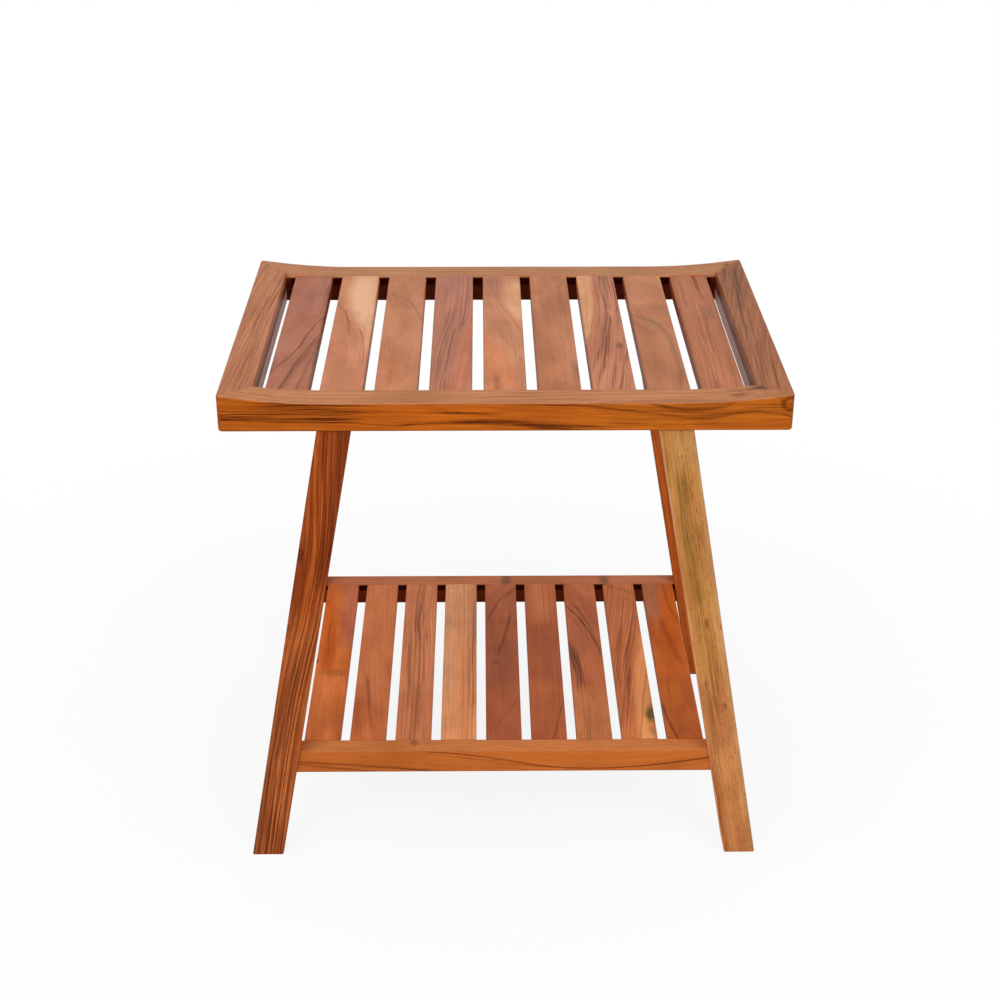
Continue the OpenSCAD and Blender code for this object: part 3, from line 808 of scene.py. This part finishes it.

# The seat slats' tones are partly a painted sheen: their tops are painted paler and pinker for the light on
# them.
seat_slat_looks = [
    dict(
        tone=(178, 111, 84), lines=0.08, streaks=0.4, flecks=0.4, clouds=1.4,
        grain=[(0, 90), (50, 60), (100, 0)],
        veins=[
            zone([(0, 90), (15, 80), (35, 40)], 0.4, 0.3, MAUVE, 1),
            vein([(38, 102), (47, 83), (55, 68), (64, 58), (73, 42), (80, 20), (90, -6)], 0.85, 0.04),
            zone([(56, 110), (66, 86), (80, 62), (90, 48), (100, 34)], 0.45, 0.14, BROWN, 1),
            vein([(56, 100), (66, 78), (78, 60), (90, 44), (100, 30)], 0.6, 0.04),
            vein([(64, 100), (78, 90), (100, 72)], 0.4, 0.05),
            zone([(72, -5), (86, 0)], 0.6, 0.2, SMOKY, 1),
            streaked([(10, 100), (40, 95)], 0.5, 0.12),
        ],
    ),
    dict(
        tone=(204, 132, 95), rings=0.04, streaks=0.3, clouds=1.5,
        grain=[(0, 30), (35, 30), (60, 70), (100, 70)],
        veins=[
            zone([(0, 68), (20, 66), (30, 72), (38, 85), (46, 100), (52, 110)],
                0.9, 0.58, (236, 182, 140), 0.75),
            zone([(30, 105), (50, 100), (68, 100)], 0.7, 0.2, PALE, 0.6),
            zone([(36, 10), (70, 25)], 0.35, 0.25, (216, 140, 90), 1),
            vein([(25, -2), (30, 10), (35, 27), (44, 38), (54, 46)], 0.45, 0.05, BROWN),
            streaked([(48, 75), (60, 75), (80, 95)], 0.35, 0.14),
        ],
    ),
    dict(
        tone=(197, 128, 90), rings=0.03, streaks=0.2, clouds=1.6,
        grain=[(0, 20), (30, 50), (50, 80), (100, 80)],
        veins=[
            vein([(16, -10), (18, 20), (21, 42), (26, 62), (33, 80), (44, 100)], 0.5, 0.06, SMOKY),
            zone([(16, 10), (22, 30), (32, 60)], 0.2, 0.2, SMOKY, 1),
            zone([(72, 10), (80, 30), (100, 50)], 0.35, 0.5, (204, 118, 70), 0.8),
        ],
    ),
    dict(
        tone=(192, 124, 97), rings=0.12, lines=0.2, streaks=0.6, flecks=0.3, ring_width=0.002,
        grain=[(0, 85), (35, 80), (60, 60), (100, 40)],
        veins=[
            zone([(42, 115), (60, 92), (80, 80), (100, 65)], 0.8, 0.34, (198, 116, 80), 0.8),
            band(0, 26, 0.5, (174, 112, 92)),
            vein([(0, 88), (20, 86), (35, 80), (48, 72)], 0.45, 0.04),
            streaked([(44, 74), (55, 58), (70, 50), (85, 40), (100, 30)], 0.45, 0.12, (92, 52, 40)),
            vein([(30, 70), (45, 66), (56, 50), (70, 42), (86, 36)], 0.4, 0.035),
            streaked([(30, 50), (60, 30), (90, 15)], 0.4, 0.2, GREY_BROWN),
        ],
    ),
    dict(
        tone=(201, 133, 96), rings=0.05, streaks=0.3, clouds=1.5,
        grain=[(0, 20), (30, 40), (50, 70), (100, 90)],
        veins=[
            zone([(0, 30), (10, 25)], 0.6, 0.4, MAUVE, 0.9),
            zone([(6, 85), (15, 82), (30, 90), (42, 110)], 0.7, 0.42, PALE, 0.6),
            vein([(12, 38), (20, 36), (30, 50), (42, 74), (52, 95)], 0.4, 0.04, BROWN),
            zone([(50, -35), (64, 0), (80, 30), (100, 50)], 0.6, 0.5, (216, 126, 74), 0.6),
            streaked([(56, 50), (68, 72), (80, 100)], 0.35, 0.08),
            zone([(88, 30), (100, 33)], 0.45, 0.14, BROWN, 1),
        ],
    ),
    dict(
        tone=(189, 120, 83), rings=0.04, streaks=0.25, clouds=1.8, grain=[(0, 40), (50, 50), (100, 60)],
        veins=[
            vein([(0, 38), (14, 42)], 0.35, 0.05, BROWN),
            zone([(66, 40), (100, 60)], 0.4, 0.5, (190, 112, 64), 1),
            zone([(78, 95), (92, 100)], 0.5, 0.22, GREY_BROWN, 1),
            streaked([(10, 70), (60, 80)], 0.25, 0.15),
        ],
    ),
    dict(
        tone=(197, 126, 92), rings=0.15, lines=0.25, streaks=0.7, flecks=0.4, ring_width=0.002,
        grain=[(0, 50), (30, 50), (60, 30), (100, 0)],
        veins=[
            zone([(0, 0), (20, 0), (35, -6), (50, -20), (66, -40)], 0.9, 0.42, (230, 166, 118), 0.3),
            streaked([(0, 80), (20, 78), (45, 85)], 0.65, 0.24, GREY_BROWN),
            vein([(0, 60), (15, 58), (30, 64), (42, 60), (55, 53), (70, 44), (85, 34)], 0.65, 0.05),
            streaked([(0, 98), (20, 95), (35, 90)], 0.6, 0.1),
            streaked([(30, 75), (45, 66), (60, 60), (70, 50), (80, 36), (95, 10)], 0.55, 0.12),
            streaked([(50, 50), (62, 42), (75, 20), (86, 0)], 0.5, 0.1),
            vein([(68, 98), (78, 86), (88, 76), (100, 60)], 0.5, 0.06),
            streaked([(70, 80), (85, 60), (100, 40)], 0.4, 0.1),
        ],
        spots=[
            (DARK, 0.6, (0.0105, 0.041, 0), (0.0045, 0.014, 0.02), 0.3),
            ((222, 146, 106), 0.8, (0.0085, -0.036, 0), (0.0028, 0.02, 0.02), 0),
        ],
    ),
    dict(
        tone=(184, 117, 79), rings=0.03, streaks=0.2, clouds=1.6,
        grain=[(0, 10), (40, 40), (60, 80), (100, 80)],
        veins=[
            vein([(36, -10), (41, 20), (44, 50), (49, 68), (56, 78), (66, 84), (76, 87), (88, 84),
                (100, 75)], 0.5, 0.13, (116, 86, 58)),
            band(0, 28, 0.7, (214, 144, 102)),
            zone([(72, 50), (100, 50)], 0.4, 0.8, (172, 106, 70), 1),
            zone([(38, 10), (44, 45), (52, 70)], 0.3, 0.25, SMOKY, 1),
            zone([(0, 105), (22, 105)], 0.6, 0.18, (216, 168, 112), 0.8),
            vein([(4, 30), (9, 60), (16, 95)], 0.3, 0.08, SMOKY),
        ],
    ),
    dict(
        tone=(187, 116, 80), rings=0.15, lines=0.25, streaks=0.6, flecks=0.5,
        grain=[(0, 62), (40, 60), (100, 50)],
        veins=[
            streaked([(0, 62), (14, 66), (24, 72)], 0.6, 0.1),
            streaked([(5, 20), (30, 22)], 0.5, 0.08),
            zone([(31, 70), (41, 66)], 0.4, 0.25, GREY_BROWN, 1),
            streaked([(40, 45), (70, 40), (100, 30)], 0.4, 0.2),
            vein([(40, 62), (55, 56), (70, 55)], 0.3, 0.03),
            zone([(72, 60), (100, 60)], 0.3, 0.4, (200, 116, 66), 1),
        ],
    ),
]
lay_slats("seat", seat_slat_looks, SEAT_TONGUE_L, SEAT_TONGUE_T, SEAT_SIDE_SHADE_DEPTH, seed=20)

# Legs. Four square bars that lean outwards to the floor, tenoned into the rails' undersides, cut
# level at the foot and rounded on the foot's inner corner.
FOOT_CORNER_R = 0.005
SHELF_FRONT_LOW, SHELF_FRONT_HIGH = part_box("shelf_front_rail")
SHELF_TENON_L = 0.014
SHELF_TENON_T = 0.008
SHELF_TENON_Z = (0.091, 0.100)


def leg_inner_x(z):
    """How far out the legs' inner faces lie at a height."""
    return LEG_HIGH.x - LEG_W / math.cos(LEG_SPLAY) - z * math.tan(LEG_SPLAY)


def shelf_tenon_box(spare):
    """The height and thickness of a back shelf rail's tenon, with spare room round it."""
    middle_y = -(SHELF_FRONT_LOW.y + SHELF_FRONT_HIGH.y) / 2
    half_t = SHELF_TENON_T / 2 + spare
    low = Vector((-1, middle_y - half_t, SHELF_TENON_Z[0] - spare))
    return low, Vector((1, middle_y + half_t, SHELF_TENON_Z[1] + spare))


def leg(right, back):
    """The back right leg: a leaning bar with its tenon and mortise. The others are its mirror images."""
    lean = Vector((-math.sin(LEG_SPLAY), 0, math.cos(LEG_SPLAY)))
    bm = block(Vector((-LEG_W, LEG_LOW.y, -LEG_W)), Vector((0, LEG_HIGH.y, RAIL_Z / lean.z + LEG_W)))
    ease(bm, long_edges(bm, UPWARDS), LEG_EDGE_R)
    bmesh.ops.rotate(bm, verts=bm.verts, cent=(0, 0, 0), matrix=Matrix.Rotation(-LEG_SPLAY, 3, "Y"))
    bmesh.ops.translate(bm, verts=bm.verts, vec=(LEG_HIGH.x, 0, 0))
    saw(bm, Vector((0, 0, RAIL_Z)), UPWARDS)
    saw(bm, Vector((0, 0, 0)), DOWNWARDS)
    toe = [edge for edge in bm.edges
           if all(vert.co.z < HAIR and vert.co.x < leg_inner_x(0) + HAIR for vert in edge.verts)]
    ease(bm, toe, FOOT_CORNER_R, segments=5)
    bm.normal_update()
    tenon_reach = Vector((-math.tan(LEG_SPLAY), 0, 1)) * LEG_TENON_H
    ease(bm, joint(bm, UPWARDS, *leg_tenon_box(0), tenon_reach), LEG_EDGE_R)
    bm.normal_update()
    inner_face = Vector((-lean.z, 0, lean.x))
    joint(bm, inner_face, *shelf_tenon_box(SIDE_CLEAR), Vector((SHELF_TENON_L + END_CLEAR, 0, 0)))
    bmesh.ops.scale(bm, verts=bm.verts, vec=(right, back, 1))
    return bm


LEG_DARK = (84, 26, 6)

leg_looks = {
    "front_left_leg": dict(
        tone=(178, 92, 42), sheen=DULL, rings=0.5, lines=0.8, streaks=2, flecks=0.8, clouds=1.3,
        ring_width=0.0016, wander=0.0025,
        grain=[(0, 30), (10, 45), (20, 65), (30, 75), (40, 72), (50, 60), (60, 52), (100, 55)],
        veins=[
            band(0, 42, 0.45, (150, 64, 12)),
            zone([(0, 85), (20, 90), (34, 86)], 0.7, 0.5, (94, 32, 4), 0.8),
            zone([(0, 20), (30, 25), (40, 20)], 0.6, 0.5, (122, 46, 10), 1),
            zone([(32, 5), (40, 12), (44, 10)], 0.4, 0.25, (100, 42, 12), 1),
            zone([(38, 100), (50, 98), (66, 95)], 0.5, 0.25, (178, 108, 60), 0.8),
            zone([(62, 2), (80, 8), (100, 8)], 0.55, 0.3, (116, 72, 46), 1),
            zone([(74, 95), (100, 95)], 0.5, 0.35, (128, 64, 36), 1),
            zone([(42, 40), (60, 50), (100, 50)], 0.4, 0.7, (186, 112, 64), 1),
            vein([(0, 2), (8, 12), (18, 30), (28, 47), (38, 42), (50, 30)], 0.6, 0.09, (190, 104, 36)),
            vein([(0, 20), (7, 35), (15, 52), (22, 60), (30, 61), (40, 56), (50, 44)], 0.9, 0.035, LEG_DARK),
            vein([(0, 30), (8, 46), (16, 63), (26, 70), (40, 66), (50, 55), (58, 46)], 0.8, 0.03, LEG_DARK),
            vein([(0, 45), (8, 60), (16, 74), (26, 80), (40, 76), (48, 68), (56, 60), (64, 57), (80, 55),
                (100, 58)], 0.95, 0.035, LEG_DARK),
            vein([(0, 62), (8, 75), (18, 88), (30, 91), (42, 86), (52, 76), (64, 68), (80, 65), (100, 68)],
                0.95, 0.035, LEG_DARK),
            vein([(40, 98), (52, 88), (64, 80), (80, 77), (100, 80)], 0.7, 0.03, LEG_DARK),
            vein([(12, 10), (22, 26), (32, 34), (42, 30), (52, 20)], 0.5, 0.035, LEG_DARK),
            vein([(20, 8), (30, 18), (45, 12)], 0.5, 0.04, LEG_DARK),
            vein([(50, 48), (62, 34), (80, 30), (100, 32)], 0.7, 0.035, LEG_DARK),
            vein([(56, 30), (70, 18), (100, 16)], 0.6, 0.035, LEG_DARK),
            streaked([(50, 45), (62, 44), (80, 42), (100, 45)], 0.6, 0.2, (80, 38, 16)),
        ],
        spots=[
            (DARK, 0.8, (-0.012, -0.098, -0.012), (0.004, 0.01, 0.006), 0.4),
            (DARK, 0.5, (-0.013, -0.026, -0.012), (0.003, 0.006, 0.004), 0),
        ],
    ),
    "front_right_leg": dict(
        tone=(182, 124, 66), sheen=DULL, rings=0.1, streaks=0.8, flecks=1.2, clouds=1.6, wander=0.004,
        grain=[(0, 50), (100, 50)],
        veins=[
            zone([(55, 50), (75, 50), (100, 50)], 0.6, 0.9, (190, 118, 76), 1),
            zone([(0, 60), (8, 60)], 0.5, 0.6, (188, 146, 92), 0.9),
            zone([(10, 42), (20, 38), (30, 40), (38, 42)], 0.5, 0.32, (124, 90, 42), 1),
            streaked([(8, 42), (18, 38), (28, 40)], 0.6, 0.3, (104, 80, 36)),
            streaked([(4, 0), (12, 4), (24, 10)], 0.7, 0.12, (110, 84, 40)),
            streaked([(34, 44), (40, 40), (45, 38)], 0.6, 0.14, (104, 70, 32)),
            streaked([(20, 75), (30, 70)], 0.5, 0.25, (140, 90, 40)),
            zone([(42, 35), (50, 50), (58, 50)], 0.2, 0.4, (120, 80, 36), 1),
            streaked([(44, 60), (56, 50), (66, 40)], 0.5, 0.3, (116, 78, 36)),
            streaked([(60, 20), (70, 30), (80, 30)], 0.3, 0.2, (124, 80, 40)),
            zone([(72, -5), (86, 4), (100, 8)], 0.75, 0.3, (144, 72, 36), 1),
            zone([(0, 97), (50, 95), (100, 97)], 0.45, 0.24, (192, 150, 108), 1),
            # A painted highlight: the sheen of the light along the leg's inner edge.
            zone([(0, 0), (100, 0)], 0.85, 0.05, (240, 172, 126), 1),
        ],
        spots=[
            (BROWN, 0.6, (0.001, -0.03, -0.012), (0.002, 0.007, 0.004), 0),
            (BROWN, 0.6, (-0.007, 0.03, -0.012), (0.002, 0.006, 0.004), 0),
            (BROWN, 0.5, (0.006, 0.055, -0.012), (0.0015, 0.006, 0.004), 0),
        ],
    ),
    "back_right_leg": dict(
        tone=(188, 94, 36), sheen=DULL, rings=0.35, lines=0.35, streaks=1.1, flecks=0.6, clouds=1.5,
        ring_width=0.002, grain=[(0, 40), (30, 50), (50, 62), (75, 55), (100, 50)],
        veins=[
            streaked([(0, 30), (50, 50), (100, 40)], 0.6, 0.2),
            vein([(10, 20), (30, 30), (50, 42), (80, 36)], 0.6, 0.04),
            vein([(20, 70), (60, 78), (90, 70)], 0.6, 0.04),
            zone([(55, 80), (90, 90)], 0.35, 0.3, BROWN, 1),
        ],
    ),
    "back_left_leg": dict(
        tone=(182, 102, 54), sheen=DULL, rings=0.35, lines=0.35, streaks=1, flecks=0.5, clouds=1.5,
        ring_width=0.0022, grain=[(0, 60), (25, 50), (50, 45), (75, 52), (100, 50)],
        veins=[
            streaked([(10, 60), (50, 40), (100, 50)], 0.7, 0.2),
            vein([(0, 30), (40, 20), (80, 30)], 0.6, 0.04),
            vein([(5, 80), (35, 68), (60, 72)], 0.6, 0.04),
            zone([(0, 90), (30, 85)], 0.35, 0.3, BROWN, 1),
        ],
    ),
}
for number, (leg_name, look) in enumerate(leg_looks.items()):
    low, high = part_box(leg_name)
    right = 1 if "right" in leg_name else -1
    back = 1 if "back" in leg_name else -1
    leg_middle_x = (leg_inner_x(RAIL_Z / 2) + LEG_W / 2 / math.cos(LEG_SPLAY)) * right
    leg_centre = Vector((leg_middle_x, (low.y + high.y) / 2, RAIL_Z / 2))
    leg_down = Vector((right * math.sin(LEG_SPLAY), 0, -math.cos(LEG_SPLAY)))
    leg_across = Vector((math.cos(LEG_SPLAY), 0, right * math.sin(LEG_SPLAY)))
    leg_size = Vector((LEG_W, RAIL_Z / math.cos(LEG_SPLAY), high.y - low.y))
    timber = wood(leg_name, leg_centre, leg_across, leg_down, leg_size, look, 60 + 4 * number)
    finished(leg(right, back), leg_name, timber)

# Shelf rails. Two bars between the legs, set back from their front faces, cut to the legs' lean
# and grooved inside for the shelf's slats.
SHELF_GROOVE_DEPTH = 0.006
SHELF_GROOVE_Z = (0.103, 0.1082)
# The shelf rails' inner faces below their top are painted dark: painted shade, one tone above the groove's
# foot and another below.
SHELF_RAIL_INNER_SHADE_Z = (SHELF_FRONT_HIGH.z - 0.0012, SHELF_FRONT_HIGH.z)
SHELF_RAIL_INNER_SHADE = (*SHELF_RAIL_INNER_SHADE_Z, (48, 8, 2), SHELF_GROOVE_Z[0], (104, 34, 10))


def shelf_rail(back):
    """The back shelf rail, its ends sawn to the legs' lean. The front one is its mirror image."""
    low = Vector((-LEG_HIGH.x, -SHELF_FRONT_HIGH.y, SHELF_FRONT_LOW.z))
    high = Vector((LEG_HIGH.x, -SHELF_FRONT_LOW.y, SHELF_FRONT_HIGH.z))
    bm = block(low, high)
    edges = [edge for edge in long_edges(bm, RIGHTWARDS) if edge.verts[0].co.yz != (low.y, high.z)]
    ease(bm, edges, SLAT_EDGE_R, segments=3)
    ends = [Vector((right * math.cos(LEG_SPLAY), 0, math.sin(LEG_SPLAY))) for right in (-1, 1)]
    for outward in ends:
        saw(bm, Vector((math.copysign(leg_inner_x(0), outward.x), 0, 0)), outward)
    bm.normal_update()
    groove_low = Vector((-1, -1, SHELF_GROOVE_Z[0]))
    groove_high = Vector((1, 1, SHELF_GROOVE_Z[1]))
    joint(bm, FORWARDS, groove_low, groove_high, BACKWARDS * SHELF_GROOVE_DEPTH)
    for outward in ends:
        joint(bm, outward, *shelf_tenon_box(0), Vector((math.copysign(SHELF_TENON_L, outward.x), 0, 0)))
    bmesh.ops.scale(bm, verts=bm.verts, vec=(1, back, 1))
    return bm


# Each tone is a top's, painted paler as a painted sheen of the light; side gives the other faces their
# deeper colour.
shelf_rail_looks = {
    "shelf_front_rail": dict(
        tone=(206, 124, 70), side=(0.74, 0.58, 0.34), sheen=DULL, streaks=0.5, clouds=1.3,
        grain=[(0, 0), (30, 30), (60, 75), (75, 85), (100, 40)], inner=(BACKWARDS, *SHELF_RAIL_INNER_SHADE),
        veins_on_face=True,
        veins=[
            vein([(25, -10), (38, 12), (50, 42), (60, 72), (70, 84), (78, 82), (90, 62), (100, 36)],
                0.9, 0.07, BROWN),
            vein([(0, 48), (8, 58), (18, 72), (28, 88), (36, 106)], 0.85, 0.08, BROWN),
            vein([(0, 60), (10, 80), (20, 102)], 0.6, 0.08, BROWN),
            streaked([(30, 10), (50, 60), (65, 95)], 0.3, 0.15),
        ],
        spots=[(GREY_BROWN, 0.6, (-0.011, -0.08, -0.004), (0.004, 0.005, 0.008), 0)],
    ),
    "shelf_back_rail": dict(
        tone=(206, 125, 87), side=(0.654, 0.351, 0.079), sheen=DULL, streaks=0.5,
        grain=[(0, 50), (50, 40), (100, 50)], inner=(FORWARDS, *SHELF_RAIL_INNER_SHADE), veins_on_face=True,
        veins=[streaked([(10, 50), (50, 50), (90, 40)], 0.4, 0.2)],
        spots=[
            (GREY_BROWN, 0.6, (-0.01, 0.006, 0), (0.005, 0.007, 0.02), 0),
            (GREY_BROWN, 0.6, (-0.01, 0.108, 0), (0.005, 0.009, 0.02), 0),
        ],
    ),
}
for shelf_rail_name, look in shelf_rail_looks.items():
    low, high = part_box(shelf_rail_name)
    back = 1 if "back" in shelf_rail_name else -1
    shelf_rail_size = Vector((high.z - low.z, 2 * leg_inner_x(high.z), high.y - low.y))
    middle = (low + high) / 2
    timber = wood(shelf_rail_name, middle, DOWNWARDS, RIGHTWARDS, shelf_rail_size, look, 90 + back)
    finished(shelf_rail(back), shelf_rail_name, timber)

# Shelf slats. Nine thinner boards of the same wood, redder than the seat's, whose paler tones are partly a
# painted sheen. They lie flush with the shelf rails and are held like the seat's, by tongues in grooves.
SHELF_TONGUE_T = 0.005
SHELF_TONGUE_L = 0.0056
# The depth below the top from which the shelf slats' sides take the painted shade.
SHELF_SIDE_SHADE_DEPTH = 0.006

shelf_slat_looks = [
    dict(
        tone=(220, 115, 48), rings=0.1, streaks=0.4, clouds=1.6, grain=[(0, 35), (50, 45), (100, 50)],
        veins=[
            zone([(0, 75), (20, 80), (45, 95)], 0.6, 0.42, (190, 108, 86), 0.8),
            zone([(10, 0), (20, 12), (35, 30), (50, 35), (58, 35)], 0.9, 0.34, (206, 94, 18), 0.8),
            streaked([(25, 30), (50, 30)], 0.5, 0.06),
            vein([(80, 42), (90, 46), (100, 45)], 0.4, 0.07, BROWN),
            zone([(62, 40), (100, 45)], 0.7, 0.7, (244, 140, 78), 1),
            zone([(85, 100), (100, 95)], 0.25, 0.3, BROWN, 1),
        ],
        spots=[
            (DARK, 0.8, (-0.0155, 0.008, 0), (0.002, 0.006, 0.02), 0),
            ((132, 76, 30), 0.4, (0.003, 0.029, 0), (0.018, 0.01, 0.02), 0),
        ],
    ),
    dict(
        tone=(217, 125, 73), rings=0.06, streaks=0.4, clouds=1.2,
        grain=[(0, 20), (60, 35), (95, 55), (100, 56)],
        veins=[
            zone([(50, 95), (66, 95)], 0.45, 0.2, (206, 92, 20), 1),
            vein([(62, 30), (72, 38), (82, 47), (95, 56)], 0.6, 0.09, BROWN),
            zone([(76, 10), (100, 20)], 0.7, 0.5, (190, 92, 34), 1),
            zone([(80, 75), (100, 80)], 0.5, 0.45, (186, 88, 38), 1),
        ],
    ),
    dict(
        tone=(228, 142, 94), rings=0.25, lines=0.5, streaks=1, flecks=0.5, ring_width=0.0018,
        grain=[(0, 50), (25, 42), (40, 48), (100, 50)],
        veins=[
            streaked([(12, 60), (25, 42), (38, 50)], 0.5, 0.2),
            vein([(15, 40), (22, 60), (30, 56)], 0.4, 0.06),
            streaked([(35, 70), (70, 65), (100, 70)], 0.4, 0.15),
            streaked([(40, 20), (70, 30)], 0.4, 0.12),
            band(70, 100, 0.5, (180, 96, 56)),
        ],
    ),
    dict(
        tone=(236, 156, 104), rings=0.15, lines=0.3, streaks=0.7, clouds=1.4, grain=[(0, 50), (100, 50)],
        veins=[
            zone([(0, 10), (50, 12), (100, 20)], 0.85, 0.36, (232, 166, 122), 0.8),
            zone([(12, 95), (40, 95)], 0.55, 0.25, (140, 88, 66), 1),
            vein([(10, 78), (30, 75), (60, 78), (100, 75)], 0.35, 0.04, BROWN),
            streaked([(40, 85), (80, 90)], 0.5, 0.12),
            band(0, 24, 0.65, (252, 174, 122)),
            band(70, 100, 0.4, (230, 138, 80)),
        ],
    ),
    dict(
        tone=(174, 92, 55), rings=0.08, streaks=0.4, clouds=1.4,
        grain=[(0, 80), (20, 20), (60, 30), (100, 20)],
        veins=[
            zone([(40, 60), (70, 50)], 0.35, 0.6, (140, 80, 62), 1),
            band(0, 24, 0.7, (204, 116, 74)),
            vein([(3, 95), (8, 70), (12, 45), (18, 26), (26, 5)], 0.65, 0.11, (96, 44, 32)),
            vein([(22, 78), (28, 72), (35, 62), (42, 50), (48, 38)], 0.65, 0.1, (96, 44, 32)),
            vein([(75, 98), (82, 74), (87, 50), (94, 30)], 0.55, 0.05),
            band(74, 100, 0.5, (170, 82, 46)),
        ],
        spots=[(BROWN, 0.8, (-0.006, 0.011, 0), (0.0055, 0.007, 0.02), 1)],
    ),
    dict(
        tone=(186, 98, 56), rings=0.12, streaks=0.5, clouds=1.2, grain=[(0, 60), (50, 60), (100, 60)],
        veins=[
            zone([(0, 50), (28, 50)], 0.85, 0.7, (226, 130, 80), 1),
            vein([(0, 58), (20, 60), (30, 62)], 0.4, 0.04, BROWN),
            vein([(0, 78), (30, 80)], 0.35, 0.04, BROWN),
            zone([(36, 50), (66, 70)], 0.4, 0.5, (140, 76, 56), 1),
            band(74, 100, 0.6, (164, 80, 44)),
            vein([(78, 100), (88, 80), (100, 62)], 0.5, 0.05),
        ],
    ),
    dict(
        tone=(200, 109, 66), rings=0.1, streaks=0.5, clouds=1.5,
        grain=[(0, 10), (30, 60), (60, 80), (100, 80)],
        veins=[
            zone([(24, 40), (36, 40), (50, 30)], 0.35, 0.6, (146, 80, 66), 1),
            vein([(15, -5), (20, 20), (26, 42), (34, 66), (42, 84), (50, 95)], 0.8, 0.07),
            vein([(14, 20), (20, 42), (28, 64), (36, 80)], 0.7, 0.06),
            vein([(20, 2), (28, 28), (36, 50)], 0.4, 0.06, BROWN),
            zone([(44, 5), (55, 18), (64, 26), (70, 22)], 0.45, 0.22, (104, 62, 50), 1),
            vein([(42, 0), (50, 14), (60, 27), (70, 28)], 0.8, 0.05),
            vein([(44, -5), (52, 6), (62, 16), (72, 16)], 0.7, 0.05),
            vein([(46, 16), (56, 30), (66, 38), (72, 38)], 0.65, 0.05),
            zone([(71, 50), (100, 50)], 0.75, 0.9, (202, 124, 72), 0.5),
            streaked([(72, 30), (100, 35)], 0.35, 0.2),
        ],
    ),
    dict(
        tone=(215, 123, 72), rings=0.2, lines=0.3, streaks=0.8,
        grain=[(0, 130), (30, 95), (60, 50), (100, 0)],
        veins=[
            zone([(36, 115), (50, 100), (62, 86), (78, 76), (100, 74)], 1, 0.36, (250, 166, 102), 0.7),
            vein([(0, 2), (3, 30), (4, 60), (8, 95)], 0.5, 0.12),
            vein([(10, 35), (12.5, 55), (12, 75)], 0.5, 0.1),
            streaked([(12, 95), (22, 82), (36, 62), (50, 48), (66, 38), (80, 28), (92, 12)],
                0.6, 0.16, (88, 44, 26)),
            streaked([(12, 60), (25, 50), (40, 30), (55, 18), (70, 10)], 0.55, 0.12),
            vein([(15, 96), (28, 86), (40, 72)], 0.5, 0.05),
        ],
        spots=[
            ((108, 88, 44), 0.95, (0.0135, 0.1, 0), (0.008, 0.02, 0.02), 0),
            ((116, 96, 50), 0.5, (0.012, 0.128, 0), (0.004, 0.01, 0.02), 0),
        ],
    ),
    dict(
        tone=(196, 98, 34), rings=0.06, streaks=0.3, clouds=2,
        grain=[(0, 75), (30, 50), (55, 56), (100, 35)],
        veins=[
            zone([(0, 20), (12, 20), (26, 20)], 0.7, 0.5, (172, 108, 76), 0.8),
            zone([(0, 90), (30, 75), (50, 60), (64, 50)], 0.9, 0.55, (198, 92, 22), 0.8),
            zone([(0, 68), (14, 72), (26, 90)], 0.6, 0.1, (150, 56, 8), 1),
            zone([(26, 45), (40, 55), (56, 80)], 0.55, 0.14, (150, 56, 8), 1),
            vein([(66, 28), (74, 24)], 0.5, 0.06, BROWN),
            vein([(80, 0), (86, 6), (93, 16), (100, 30)], 0.8, 0.06),
        ],
    ),
]
lay_slats("shelf", shelf_slat_looks, SHELF_TONGUE_L, SHELF_TONGUE_T, SHELF_SIDE_SHADE_DEPTH, seed=120)

# Corner keys. Four loose tenons of the same wood, one glued across each mitre of the seat frame,
# where they lie quite hidden.
key_look = dict(tone=(176, 96, 44), rings=0.3, lines=0.2)
for corner in ("front_left", "front_right", "back_left", "back_right"):
    key_name = corner + "_corner_key"
    low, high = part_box(key_name)
    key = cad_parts[key_name]
    timber = wood(key_name, (low + high) / 2, RIGHTWARDS, FORWARDS, high - low, key_look, 200)
    key.data.materials.clear()
    key.data.materials.append(timber)
